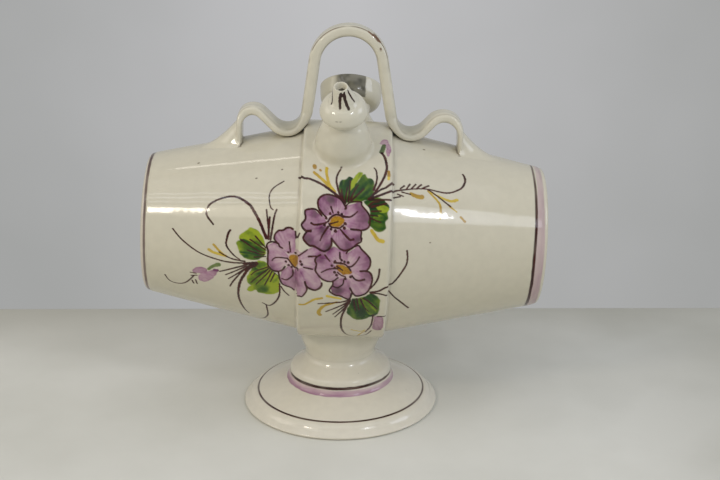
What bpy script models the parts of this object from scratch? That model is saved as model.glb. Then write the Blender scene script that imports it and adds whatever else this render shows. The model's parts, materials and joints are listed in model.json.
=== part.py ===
"""Barrel-shaped water jug of glazed earthenware, in metres, +Z up.

A short barrel lies on its side on a pedestal foot. A strap of clay makes the carrying
arch and two humps, a drinking spout leans forward (-Y) and a filling mouth leans back.
The pieces are those a potter throws and joins with slip, each with its own solid, and
every join keeps the same small gap. The barrel and all that sits on it hang a little
to the right, as on the real jug, while the foot stands level.
"""

import math

import bmesh
import bpy
from mathutils import Euler, Vector

MM = 0.001

# The join between two pieces
LUTING_GAP = 0.3 * MM

# Barrel, which lies along X
BARREL_LENGTH = 285 * MM
BARREL_END_RADIUS = 50.0 * MM
BARREL_WALL = 5.0 * MM
BARREL_ROLL = math.radians(2.4)
BAND_WIDTH = 62.8 * MM
BAND_RADIUS = 79.0 * MM
BAND_PROUD = 4.4 * MM
BAND_EDGE_ROUNDING = 2.4 * MM
HEAD_THICKNESS = 5.2 * MM
HEAD_DISH = 1.8 * MM
HEAD_ROUNDING = 3.2 * MM

# Drinking spout, measured along its axis from the band's surface
SPOUT_ROOT_ANGLE = math.radians(25)
SPOUT_OFF_CENTRE = -3.2 * MM
SPOUT_LEAN = math.radians(30)
SPOUT_SIDE_LEAN = math.radians(1.5)
SPOUT_WALL = 4.0 * MM
SHOULDER_RADIUS = 19.6 * MM
SHOULDER_HEIGHT = 26.4 * MM
SPOUT_NECK_RADIUS = 10.8 * MM
BULB_RADIUS = 16.8 * MM
BULB_HEIGHT = 17.6 * MM
BULB_TOP_RADIUS = 9.8 * MM
NOZZLE_LENGTH = 12.6 * MM
NOZZLE_TIP_RADIUS = 3.75 * MM
NOZZLE_BORE_RADIUS = 2.7 * MM
SPOUT_PASSAGE_RADIUS = 9.0 * MM

# Filling mouth, measured along its axis from the band's surface
MOUTH_ANGLE = math.radians(37.5)
MOUTH_OFF_CENTRE = 1.4 * MM
MOUTH_WALL = 4.0 * MM
MOUTH_BASE_RADIUS = 23.0 * MM
MOUTH_NECK_HEIGHT = 17.4 * MM
MOUTH_NECK_RADIUS = 14.3 * MM
MOUTH_BORE_RADIUS = 10.3 * MM
FUNNEL_HEIGHT = 18.0 * MM
FUNNEL_RIM_RADIUS = 23.5 * MM

# Strap handle, one strap of clay bent over the barrel's top
STRAP_THICKNESS = 7.4 * MM
STRAP_ARCH_WIDTH = 17.0 * MM
STRAP_HUMP_WIDTH = 19.0 * MM
STRAP_VALLEY_WIDTH = 25.0 * MM
STRAP_VALLEY_THICKNESS = 9.5 * MM
STRAP_TAIL_WIDTH = 31.0 * MM
STRAP_TAIL_THICKNESS = 3.4 * MM
ARCH_BEND_RADIUS = 24.8 * MM
ARCH_CLEAR_HEIGHT = 64.8 * MM
ARCH_OFF_CENTRE = -1.6 * MM
VALLEY_FROM_BAND = 9.2 * MM
VALLEY_RISE = 8.0 * MM
VALLEY_BEND_RADIUS = 14.5 * MM
HUMP_FROM_VALLEY = 27.2 * MM
HUMP_RISE = 21.2 * MM
LEFT_HUMP_BEND_RADIUS = 9.5 * MM
RIGHT_HUMP_BEND_RADIUS = 12.0 * MM
LEFT_LANDING_FROM_HUMP = 27.0 * MM
RIGHT_LANDING_FROM_HUMP = 36.0 * MM
LEFT_LANDING_BEND_RADIUS = 26.0 * MM
RIGHT_LANDING_BEND_RADIUS = 34.0 * MM
TAIL_LENGTH = 8.0 * MM
TAIL_TIP_LENGTH = 6.0 * MM

# Foot and the collar on it, turned about Z
FOOT_RADIUS = 72.5 * MM
FOOT_HEIGHT = 41.0 * MM
FOOT_WALL = 6.0 * MM
FOOT_RIM_HEIGHT = 6.5 * MM
FOOT_RING_WIDTH = 9.0 * MM
WAIST_RADIUS = 26.0 * MM
BELL_RADIUS = 38.2 * MM
BELL_BASE_HEIGHT = 25.3 * MM
COLLAR_HEIGHT = 16.0 * MM
COLLAR_TOP_RADIUS = 31.0 * MM

# How finely round shapes are divided, all multiples of 4
BARREL_SEGMENTS = 56
FOOT_SEGMENTS = 56
COLLAR_SEGMENTS = 40
SPOUT_SEGMENTS = 28
MOUTH_SEGMENTS = 36
STRAP_SECTION_POINTS = 12
SECTION_SQUARENESS = 0.75
ARC_STEP = math.radians(16)
CURVE_STEPS = 3
SHARP_ANGLE = math.radians(40)
SAME_POINT = 0.001 * MM

# Worked out from the sizes above
HALF_LENGTH = BARREL_LENGTH / 2
HALF_BAND = BAND_WIDTH / 2
SHELL_MID_RADIUS = BAND_RADIUS - BAND_PROUD
TAPER = (SHELL_MID_RADIUS - BARREL_END_RADIUS) / (HALF_LENGTH - HALF_BAND)
TAPER_ANGLE = math.atan(TAPER)
MOUTH_REACH_BACK = (
    (BAND_RADIUS + MOUTH_NECK_HEIGHT + FUNNEL_HEIGHT) * math.sin(MOUTH_ANGLE)
    + FUNNEL_RIM_RADIUS * math.cos(MOUTH_ANGLE)
)
# The origin is under the middle of the whole jug, so the barrel's axis lies in front of it.
AXIS_Y = -(MOUTH_REACH_BACK - BAND_RADIUS) / 2
BARREL_CENTRE = Vector((0, AXIS_Y, FOOT_HEIGHT + COLLAR_HEIGHT + BAND_RADIUS))
FOOT_CENTRE = Vector((-BAND_RADIUS * math.sin(BARREL_ROLL), AXIS_Y, 0))


def clear_scene():
    for obj in list(bpy.data.objects):
        bpy.data.objects.remove(obj, do_unlink=True)


def glazed_clay(name, colour, roughness):
    """Material of one piece: glazed earthenware with its own colour and gloss."""
    material = bpy.data.materials.new(name + "_glaze")
    material.use_nodes = True
    shader = material.node_tree.nodes["Principled BSDF"]
    shader.inputs["Base Color"].default_value = (*colour, 1)
    shader.inputs["Roughness"].default_value = roughness
    shader.inputs["Metallic"].default_value = 0
    return material


def frame_empty(name, location, rotation, parent=None):
    empty = bpy.data.objects.new(name, None)
    bpy.context.scene.collection.objects.link(empty)
    empty.location = location
    empty.rotation_euler = rotation
    empty.parent = parent
    return empty


def finish_mesh(name, bm, material=None, parent=None):
    """Makes a named object of the bmesh, with its faces pointing out."""
    bmesh.ops.recalc_face_normals(bm, faces=bm.faces)
    if bm.calc_volume(signed=True) < 0:
        bmesh.ops.reverse_faces(bm, faces=bm.faces)
    mesh = bpy.data.meshes.new(name)
    bm.to_mesh(mesh)
    bm.free()
    mesh.shade_smooth()
    mesh.set_sharp_from_angle(angle=SHARP_ANGLE)
    if material:
        mesh.materials.append(material)
    obj = bpy.data.objects.new(name, mesh)
    bpy.context.scene.collection.objects.link(obj)
    obj.parent = parent
    return obj


def turned(name, outline, segments, along="Z", material=None, parent=None):
    """A closed outline of (radius, height) points spun round the axis X or Z, as on a wheel."""
    axis = Vector((1, 0, 0)) if along == "X" else Vector((0, 0, 1))
    side = Vector((0, 1, 0)) if along == "X" else Vector((1, 0, 0))
    bm = bmesh.new()
    points = [bm.verts.new(side * radius + axis * height) for radius, height in outline]
    edges = [bm.edges.new(pair) for pair in zip(points, points[1:])]
    if min(outline[0][0], outline[-1][0]) > 0:
        edges.append(bm.edges.new((points[-1], points[0])))
    bmesh.ops.spin(
        bm,
        geom=points + edges,
        cent=(0, 0, 0),
        axis=axis,
        angle=math.tau,
        steps=segments,
        use_merge=True,
    )
    bmesh.ops.remove_doubles(bm, verts=bm.verts, dist=SAME_POINT)
    return finish_mesh(name, bm, material, parent)


def cutter(obj):
    obj.hide_render = True
    obj.display_type = "WIRE"
    return obj


def cut_away(obj, tool):
    modifier = obj.modifiers.new("cut_by_" + tool.name, "BOOLEAN")
    modifier.operation = "DIFFERENCE"
    modifier.solver = "EXACT"
    modifier.object = tool


def between(p, q, r, s, t):
    """The Catmull-Rom value at t between q and r, whose neighbours are p and s."""
    slope = (r - p) * t
    bend = (2 * p - 5 * q + 4 * r - s) * t**2
    turn_back = (3 * q - p - 3 * r + s) * t**3
    return q + (slope + bend + turn_back) / 2


def smooth_curve(points, steps=CURVE_STEPS):
    """A curve through the points, whose ends are repeated."""
    padded = [points[0], *points, points[-1]]
    curve = []
    for stretch in zip(padded, padded[1:], padded[2:], padded[3:]):
        for step in range(steps):
            curve.append(tuple(between(*values, step / steps) for values in zip(*stretch)))
    return curve + [points[-1]]


def rounded_corner(before, corner, after, radius, steps=3):
    """The corner of an outline as an arc. The arc is limited by its two sides."""
    corner = Vector(corner)
    to_before = Vector(before) - corner
    to_after = Vector(after) - corner
    half_angle = to_before.angle(to_after) / 2
    reach = min(radius / math.tan(half_angle), 0.9 * to_before.length, 0.9 * to_after.length)
    radius = reach * math.tan(half_angle)
    middle = (to_before.normalized() + to_after.normalized()).normalized()
    centre = corner + middle * (radius / math.sin(half_angle))
    start = corner + to_before.normalized() * reach - centre
    end = corner + to_after.normalized() * reach - centre
    turn = start.angle(end)
    arc = []
    for step in range(steps + 1):
        t = step / steps
        spoke = (start * math.sin((1 - t) * turn) + end * math.sin(t * turn)) / math.sin(turn)
        arc.append(tuple(centre + spoke))
    return arc


def shell_radius(x):
    """Outer radius of the barrel wall at x, carried on under the band."""
    return SHELL_MID_RADIUS - TAPER * (abs(x) - HALF_BAND)


# Barrel


def make_shell(name, side, material, barrel):
    start = HALF_BAND + LUTING_GAP
    end = HALF_LENGTH - HEAD_THICKNESS - LUTING_GAP
    outline = [
        (shell_radius(start), side * start),
        (shell_radius(end), side * end),
        (shell_radius(end) - BARREL_WALL, side * end),
        (shell_radius(start) - BARREL_WALL, side * start),
    ]
    return turned(name, outline, BARREL_SEGMENTS, "X", material, barrel)


def make_head(name, side, material, barrel):
    """A disc with a rounded outer edge, dished in a little at its middle."""
    joint = HALF_LENGTH - HEAD_THICKNESS
    dish_radius = 0.8 * BARREL_END_RADIUS
    outer_edge = rounded_corner(
        (shell_radius(joint), joint),
        (shell_radius(HALF_LENGTH), HALF_LENGTH),
        (dish_radius, HALF_LENGTH),
        HEAD_ROUNDING,
    )
    outline = [
        (0, joint - HEAD_DISH),
        (dish_radius, joint - HEAD_DISH),
        (shell_radius(joint) - BARREL_WALL - LUTING_GAP, joint - LUTING_GAP),
        (shell_radius(joint) - BARREL_WALL, joint),
        (shell_radius(joint), joint),
        *outer_edge,
        (dish_radius, HALF_LENGTH),
        (dish_radius / 2, HALF_LENGTH - 0.7 * HEAD_DISH),
        (0, HALF_LENGTH - HEAD_DISH),
    ]
    outline = [(radius, side * x) for radius, x in outline]
    return turned(name, outline, BARREL_SEGMENTS, "X", material, barrel)


def band_outline(gap=0.0):
    """The band's outer side from left to right, with rounded edges, made larger by gap."""
    half, radius = HALF_BAND + gap, BAND_RADIUS + gap
    foot = shell_radius(half) + gap
    left = rounded_corner((foot, -half), (radius, -half), (radius, 0), BAND_EDGE_ROUNDING)
    return left + [(r, -x) for r, x in reversed(left)]


def make_band(material, barrel, passages):
    inner = SHELL_MID_RADIUS - BARREL_WALL
    outline = [
        (inner, -HALF_BAND),
        (shell_radius(HALF_BAND), -HALF_BAND),
        *band_outline(),
        (shell_radius(HALF_BAND), HALF_BAND),
        (inner, HALF_BAND),
    ]
    band = turned("centre_band", outline, BARREL_SEGMENTS, "X", material, barrel)
    for passage in passages:
        cut_away(band, passage)
    return band


def make_barrel_envelope(barrel):
    """The outside of shells and band, one gap larger: it cuts the seats of what sits on them."""
    end = HALF_LENGTH
    outline = [
        (0, -end),
        (shell_radius(end) + LUTING_GAP, -end),
        (shell_radius(HALF_BAND + LUTING_GAP) + LUTING_GAP, -HALF_BAND - LUTING_GAP),
        *band_outline(LUTING_GAP),
        (shell_radius(HALF_BAND + LUTING_GAP) + LUTING_GAP, HALF_BAND + LUTING_GAP),
        (shell_radius(end) + LUTING_GAP, end),
        (0, end),
    ]
    return cutter(turned("barrel_envelope", outline, BARREL_SEGMENTS, "X", None, barrel))


def make_passage(name, radius, frame):
    """A round rod along a spout's or mouth's axis, which cuts the hole through the band's wall."""
    reach = 2 * (BAND_PROUD + BARREL_WALL)
    outline = [(0, -reach), (radius, -reach), (radius, reach), (0, reach)]
    return cutter(turned(name, outline, SPOUT_SEGMENTS, "Z", None, frame))


# Spout and mouth


def hollow_piece(name, outer, inner, segments, materials, frame):
    """A turned wall: its outer side from the bottom up, then its inner side back down."""
    return turned(name, outer + inner[::-1], segments, "Z", materials[name], frame)


def make_spout(materials, frame, envelope):
    root_depth = BAND_PROUD + 0.5 * BARREL_WALL
    neck = SHOULDER_HEIGHT
    dome_rise = SHOULDER_RADIUS - SPOUT_NECK_RADIUS
    outer = smooth_curve(
        [
            (SHOULDER_RADIUS, -root_depth),
            (SHOULDER_RADIUS, 0),
            (SPOUT_NECK_RADIUS + 0.9 * dome_rise, 0.36 * neck),
            (SPOUT_NECK_RADIUS + 0.5 * dome_rise, 0.72 * neck),
            (SPOUT_NECK_RADIUS + 0.12 * dome_rise, 0.92 * neck),
            (SPOUT_NECK_RADIUS, neck),
        ],
        2,
    )
    neck_bore = SPOUT_NECK_RADIUS - SPOUT_WALL
    inner = smooth_curve(
        [
            (SPOUT_PASSAGE_RADIUS, -root_depth),
            (SPOUT_PASSAGE_RADIUS, 0),
            (neck_bore + 0.6 * (SHOULDER_RADIUS - SPOUT_WALL - neck_bore), 0.45 * neck),
            (neck_bore, neck),
        ],
        2,
    )
    shoulder = hollow_piece("spout_shoulder", outer, inner, SPOUT_SEGMENTS, materials, frame)
    cut_away(shoulder, envelope)

    low = SHOULDER_HEIGHT + LUTING_GAP
    top = SHOULDER_HEIGHT + BULB_HEIGHT
    swell = BULB_RADIUS - SPOUT_NECK_RADIUS
    outer = smooth_curve(
        [
            (SPOUT_NECK_RADIUS, low),
            (SPOUT_NECK_RADIUS + 0.3 * swell, low + 0.12 * BULB_HEIGHT),
            (SPOUT_NECK_RADIUS + 0.76 * swell, low + 0.25 * BULB_HEIGHT),
            (BULB_RADIUS, low + 0.41 * BULB_HEIGHT),
            (BULB_TOP_RADIUS + 0.74 * (BULB_RADIUS - BULB_TOP_RADIUS), low + 0.72 * BULB_HEIGHT),
            (BULB_TOP_RADIUS, top),
        ]
    )
    bulb_bore = BULB_TOP_RADIUS - SPOUT_WALL
    inner = smooth_curve(
        [
            (neck_bore, low),
            (neck_bore, low + 0.16 * BULB_HEIGHT),
            (BULB_RADIUS - SPOUT_WALL, low + 0.46 * BULB_HEIGHT),
            (bulb_bore, top),
        ],
        2,
    )
    hollow_piece("spout_bulb", outer, inner, SPOUT_SEGMENTS, materials, frame)

    low = top + LUTING_GAP
    tip = low + NOZZLE_LENGTH
    lip = 0.35 * (NOZZLE_TIP_RADIUS - NOZZLE_BORE_RADIUS)
    spread = BULB_TOP_RADIUS - NOZZLE_TIP_RADIUS
    outer = smooth_curve(
        [
            (BULB_TOP_RADIUS, low),
            (NOZZLE_TIP_RADIUS + 0.55 * spread, low + 0.33 * NOZZLE_LENGTH),
            (NOZZLE_TIP_RADIUS + 0.2 * spread, low + 0.72 * NOZZLE_LENGTH),
            (NOZZLE_TIP_RADIUS, tip - lip),
        ],
        2,
    ) + [(NOZZLE_TIP_RADIUS - lip, tip)]
    inner = [
        (bulb_bore, low),
        (NOZZLE_BORE_RADIUS, low + 0.6 * NOZZLE_LENGTH),
        (NOZZLE_BORE_RADIUS, tip - lip),
        (NOZZLE_BORE_RADIUS + lip, tip),
    ]
    hollow_piece("spout_nozzle", outer, inner, SPOUT_SEGMENTS, materials, frame)


def make_mouth(materials, frame, envelope):
    root_depth = BAND_PROUD + 0.5 * BARREL_WALL
    neck = MOUTH_NECK_HEIGHT
    flare = MOUTH_BASE_RADIUS - MOUTH_NECK_RADIUS
    outer = smooth_curve(
        [
            (MOUTH_BASE_RADIUS, -root_depth),
            (MOUTH_BASE_RADIUS, 0),
            (MOUTH_NECK_RADIUS + 0.42 * flare, 0.3 * neck),
            (MOUTH_NECK_RADIUS + 0.06 * flare, 0.62 * neck),
            (MOUTH_NECK_RADIUS, 0.82 * neck),
            (MOUTH_NECK_RADIUS + 0.1 * flare, neck),
        ],
        2,
    )
    inner = [(MOUTH_BORE_RADIUS, -root_depth), (MOUTH_BORE_RADIUS, neck)]
    piece = hollow_piece("mouth_neck", outer, inner, MOUTH_SEGMENTS, materials, frame)
    cut_away(piece, envelope)

    low = neck + LUTING_GAP
    rim = neck + FUNNEL_HEIGHT
    start = MOUTH_NECK_RADIUS + 0.1 * flare
    swell = FUNNEL_RIM_RADIUS - start
    lip = 0.35 * MOUTH_WALL
    outer = smooth_curve(
        [
            (start, low),
            (start + 0.56 * swell, low + 0.07 * FUNNEL_HEIGHT),
            (start + 0.86 * swell, low + 0.28 * FUNNEL_HEIGHT),
            (start + 0.96 * swell, low + 0.6 * FUNNEL_HEIGHT),
            (FUNNEL_RIM_RADIUS, rim - lip),
        ]
    ) + [(FUNNEL_RIM_RADIUS - lip, rim)]
    cup = FUNNEL_RIM_RADIUS - MOUTH_WALL
    floor = low + 0.22 * FUNNEL_HEIGHT
    inner = [(MOUTH_BORE_RADIUS, low)] + smooth_curve(
        [
            (MOUTH_BORE_RADIUS, floor - lip),
            (MOUTH_BORE_RADIUS + lip, floor),
            (MOUTH_BORE_RADIUS + 0.68 * (cup - MOUTH_BORE_RADIUS), floor + 0.12 * FUNNEL_HEIGHT),
            (cup - 0.1 * MOUTH_WALL, floor + 0.36 * FUNNEL_HEIGHT),
            (cup, rim - lip),
        ],
        2,
    ) + [(cup + lip, rim)]
    hollow_piece("mouth_funnel", outer, inner, MOUTH_SEGMENTS, materials, frame)


# Foot


def make_foot(materials, envelope):
    frame = frame_empty("foot_frame", FOOT_CENTRE, (0, 0, 0))
    top = FOOT_HEIGHT
    rise = top - BELL_BASE_HEIGHT
    slope = BELL_BASE_HEIGHT - FOOT_RIM_HEIGHT
    spread = FOOT_RADIUS - BELL_RADIUS
    ring_inner = FOOT_RADIUS - FOOT_RING_WIDTH
    swell = BELL_RADIUS - WAIST_RADIUS
    bell = smooth_curve(
        [
            (WAIST_RADIUS, top),
            (WAIST_RADIUS + 0.1 * swell, top - 0.16 * rise),
            (WAIST_RADIUS + 0.52 * swell, top - 0.42 * rise),
            (WAIST_RADIUS + 0.84 * swell, top - 0.66 * rise),
            (BELL_RADIUS, BELL_BASE_HEIGHT),
            (BELL_RADIUS + 0.08 * spread, BELL_BASE_HEIGHT - 0.17 * slope),
            (BELL_RADIUS + 0.34 * spread, BELL_BASE_HEIGHT - 0.52 * slope),
            (BELL_RADIUS + 0.7 * spread, BELL_BASE_HEIGHT - 0.86 * slope),
            (BELL_RADIUS + 0.92 * spread, FOOT_RIM_HEIGHT - 0.12 * slope),
            (FOOT_RADIUS, 0.38 * FOOT_RIM_HEIGHT),
            (FOOT_RADIUS - 0.2 * FOOT_RING_WIDTH, 0),
        ],
        2,
    )
    bore = WAIST_RADIUS - FOOT_WALL
    hollow = smooth_curve(
        [
            (ring_inner, 0),
            (ring_inner - 0.3 * FOOT_RING_WIDTH, 0.3 * FOOT_RIM_HEIGHT),
            (BELL_RADIUS + 0.3 * spread, BELL_BASE_HEIGHT - 0.52 * slope - FOOT_WALL),
            (BELL_RADIUS - FOOT_WALL, BELL_BASE_HEIGHT - 0.3 * FOOT_WALL),
            (bore, top - FOOT_WALL),
            (bore, top),
        ],
        2,
    )
    turned("foot_pedestal", bell + hollow, FOOT_SEGMENTS, "Z", materials["foot_pedestal"], frame)

    low = FOOT_HEIGHT + LUTING_GAP
    joint = FOOT_HEIGHT + COLLAR_HEIGHT
    sunk = joint + BAND_RADIUS - math.sqrt(BAND_RADIUS**2 - COLLAR_TOP_RADIUS**2)
    sunk += COLLAR_TOP_RADIUS * math.sin(BARREL_ROLL) + BAND_PROUD
    flare = COLLAR_TOP_RADIUS - WAIST_RADIUS
    outer = smooth_curve(
        [
            (WAIST_RADIUS, low),
            (WAIST_RADIUS + 0.14 * flare, low + 0.22 * COLLAR_HEIGHT),
            (WAIST_RADIUS + 0.62 * flare, low + 0.58 * COLLAR_HEIGHT),
            (COLLAR_TOP_RADIUS, joint),
            (COLLAR_TOP_RADIUS, sunk),
        ],
        2,
    )
    inner = [(bore, low), (bore, sunk)]
    collar = hollow_piece("foot_collar", outer, inner, COLLAR_SEGMENTS, materials, frame)
    cut_away(collar, envelope)


# Strap handle


def landing_peg(x, bend_radius, rise, thickness):
    """A peg that bends the strap down on to the shell: the strap passes under it at x.

    The strap's top comes to rise above the shell, and its underside is pressed on to it.
    """
    out = Vector((math.copysign(math.sin(TAPER_ANGLE), x), math.cos(TAPER_ANGLE)))
    lift = LUTING_GAP + rise - thickness / 2 + bend_radius
    return Vector((x, shell_radius(x))) + out * lift, bend_radius, 1


def hump_peg(x, bend_radius):
    return Vector((x, shell_radius(x) + HUMP_RISE - bend_radius)), bend_radius, -1


def tangent_heading(peg, following):
    """Heading of the straight line that leaves one peg and meets the next."""
    way = following[0] - peg[0]
    lean = (following[2] * following[1] - peg[2] * peg[1]) / way.length
    return math.atan2(way.y, way.x) - math.asin(max(-1.0, min(1.0, lean)))


def touch_point(peg, heading):
    left = Vector((-math.sin(heading), math.cos(heading)))
    return peg[0] - left * (peg[1] * peg[2])


def strap_pegs():
    """The pegs from left to right, each with its stretch's name: (centre, radius, turn)."""
    valley = HALF_BAND + VALLEY_FROM_BAND
    hump = valley + HUMP_FROM_VALLEY
    left_landing = hump + LEFT_LANDING_FROM_HUMP
    right_landing = hump + RIGHT_LANDING_FROM_HUMP
    arch_height = BAND_RADIUS + ARCH_CLEAR_HEIGHT + STRAP_THICKNESS / 2 - ARCH_BEND_RADIUS
    tail = (STRAP_TAIL_THICKNESS, STRAP_TAIL_THICKNESS)
    dip = (VALLEY_RISE, STRAP_VALLEY_THICKNESS)
    return [
        ("tail", landing_peg(-left_landing, LEFT_LANDING_BEND_RADIUS, *tail)),
        ("hump", hump_peg(-hump, LEFT_HUMP_BEND_RADIUS)),
        ("valley", landing_peg(-valley, VALLEY_BEND_RADIUS, *dip)),
        ("arch", (Vector((ARCH_OFF_CENTRE, arch_height)), ARCH_BEND_RADIUS, -1)),
        ("valley", landing_peg(valley, VALLEY_BEND_RADIUS, *dip)),
        ("hump", hump_peg(hump, RIGHT_HUMP_BEND_RADIUS)),
        ("tail", landing_peg(right_landing, RIGHT_LANDING_BEND_RADIUS, *tail)),
    ]


def strap_path():
    """Centre line of the strap in the barrel's XZ plane, as a belt bent round the pegs.

    Each point has its heading, and the name of a section where the section is known.
    """
    pegs = strap_pegs()
    headings = [TAPER_ANGLE]
    headings += [tangent_heading(a[1], b[1]) for a, b in zip(pegs, pegs[1:])]
    headings.append(-TAPER_ANGLE)
    landing = touch_point(pegs[0][1], TAPER_ANGLE)
    along = Vector((math.cos(TAPER_ANGLE), math.sin(TAPER_ANGLE)))
    path = [
        (landing - along * (TAIL_LENGTH + TAIL_TIP_LENGTH), TAPER_ANGLE, "tip"),
        (landing - along * TAIL_LENGTH, TAPER_ANGLE, "tail"),
    ]
    for (name, peg), arriving, leaving in zip(pegs, headings, headings[1:]):
        touch = touch_point(peg, arriving)
        path.append(((path[-1][0] + touch) / 2, arriving, None))
        count = 2 * max(1, math.ceil(abs(leaving - arriving) / ARC_STEP / 2))
        for step in range(count + 1):
            heading = arriving + (leaving - arriving) * step / count
            known = name if step == count // 2 and name != "tail" else None
            path.append((touch_point(peg, heading), heading, known))
    landing = path[-1][0]
    along = Vector((math.cos(TAPER_ANGLE), -math.sin(TAPER_ANGLE)))
    path += [
        (landing + along * TAIL_LENGTH, -TAPER_ANGLE, "tail"),
        (landing + along * (TAIL_LENGTH + TAIL_TIP_LENGTH), -TAPER_ANGLE, "tip"),
    ]
    return path


def strap_sections(path):
    """(width, thickness, hug) at each point, eased between the sections that are known.

    Hug is 1 where the strap bends round the barrel that it lies on, and 0 where it is free.
    """
    known = {
        "tip": (0.55 * STRAP_TAIL_WIDTH, 0.5 * STRAP_TAIL_THICKNESS, 1),
        "tail": (STRAP_TAIL_WIDTH, STRAP_TAIL_THICKNESS, 1),
        "hump": (STRAP_HUMP_WIDTH, STRAP_THICKNESS, 0),
        "valley": (STRAP_VALLEY_WIDTH, STRAP_VALLEY_THICKNESS, 1),
        "arch": (STRAP_ARCH_WIDTH, STRAP_THICKNESS, 0),
    }
    sections = [known.get(name) for _, _, name in path]
    stations = [i for i, section in enumerate(sections) if section]
    for a, b in zip(stations, stations[1:]):
        for i in range(a + 1, b):
            t = (i - a) / (b - a)
            t = 3 * t**2 - 2 * t**3
            sections[i] = tuple(p + (q - p) * t for p, q in zip(sections[a], sections[b]))
    return sections


def squared(wave):
    """The section's cosine or sine, drawn out towards the corners of its rectangle."""
    return math.copysign(abs(wave) ** SECTION_SQUARENESS, wave)


def make_strap(material, barrel, envelope):
    path = strap_path()
    bm = bmesh.new()
    rings = []
    for (point, heading, _), (width, thickness, hug) in zip(path, strap_sections(path)):
        ring = []
        for k in range(STRAP_SECTION_POINTS):
            turn = math.tau * k / STRAP_SECTION_POINTS
            across = squared(math.cos(turn)) * width / 2
            lift = squared(math.sin(turn)) * thickness / 2
            x = point.x - math.sin(heading) * lift
            z = point.y + math.cos(heading) * lift
            fall = shell_radius(x) - math.sqrt(shell_radius(x) ** 2 - across**2)
            ring.append(bm.verts.new((x, across, z - hug * fall)))
        rings.append(ring)
    for ring, following in zip(rings, rings[1:]):
        for k in range(STRAP_SECTION_POINTS):
            n = (k + 1) % STRAP_SECTION_POINTS
            bm.faces.new((ring[k], ring[n], following[n], following[k]))
    bm.faces.new(rings[0])
    bm.faces.new(rings[-1])
    strap = finish_mesh("strap_handle", bm, material, barrel)
    cut_away(strap, envelope)
    return strap


def main():
    clear_scene()
    cream = (0.74, 0.69, 0.58)
    tints = {
        "left_shell": 1.0,
        "right_shell": 0.99,
        "centre_band": 1.02,
        "left_head": 0.98,
        "right_head": 0.98,
        "spout_shoulder": 1.01,
        "spout_bulb": 1.02,
        "spout_nozzle": 1.03,
        "mouth_neck": 0.97,
        "mouth_funnel": 0.98,
        "strap_handle": 0.96,
        "foot_collar": 1.0,
        "foot_pedestal": 1.01,
    }
    materials = {}
    for name, tint in tints.items():
        colour = tuple(channel * tint for channel in cream)
        materials[name] = glazed_clay(name, colour, roughness=0.15)
    barrel = frame_empty("barrel_frame", BARREL_CENTRE, (0, BARREL_ROLL, 0))
    envelope = make_barrel_envelope(barrel)

    spout_root = Vector((0, -math.sin(SPOUT_ROOT_ANGLE), math.cos(SPOUT_ROOT_ANGLE))) * BAND_RADIUS
    spout_root.x = SPOUT_OFF_CENTRE
    spout_turn = Euler((SPOUT_LEAN, -SPOUT_SIDE_LEAN, 0))
    spout_frame = frame_empty("spout_frame", spout_root, spout_turn, barrel)
    mouth_root = Vector((0, math.sin(MOUTH_ANGLE), math.cos(MOUTH_ANGLE))) * BAND_RADIUS
    mouth_root.x = MOUTH_OFF_CENTRE
    mouth_frame = frame_empty("mouth_frame", mouth_root, (-MOUTH_ANGLE, 0, 0), barrel)

    make_shell("left_shell", -1, materials["left_shell"], barrel)
    make_shell("right_shell", 1, materials["right_shell"], barrel)
    make_head("left_head", -1, materials["left_head"], barrel)
    make_head("right_head", 1, materials["right_head"], barrel)
    passages = [
        make_passage("spout_passage", SPOUT_PASSAGE_RADIUS, spout_frame),
        make_passage("mouth_passage", MOUTH_BORE_RADIUS, mouth_frame),
    ]
    make_band(materials["centre_band"], barrel, passages)
    make_spout(materials, spout_frame, envelope)
    make_mouth(materials, mouth_frame, envelope)
    make_strap(materials["strap_handle"], barrel, envelope)
    make_foot(materials, envelope)


main()
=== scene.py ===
# %% [markdown]
# A barrel-shaped water jug of painted, tin-glazed earthenware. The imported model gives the
# shape and the size of its thirteen pieces. This lesson dresses each of them: it makes the
# surface a potter's hands leave, lays the painter's brushwork on it and fires the glaze.
# Lengths are in metres, written as millimetres times MM. Only the painting and the marks of
# use are in plain millimetres.

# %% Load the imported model
import json
import math

import bmesh
import bpy
import numpy as np
from mathutils import Euler, Matrix, Vector
from mathutils.kdtree import KDTree

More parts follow.
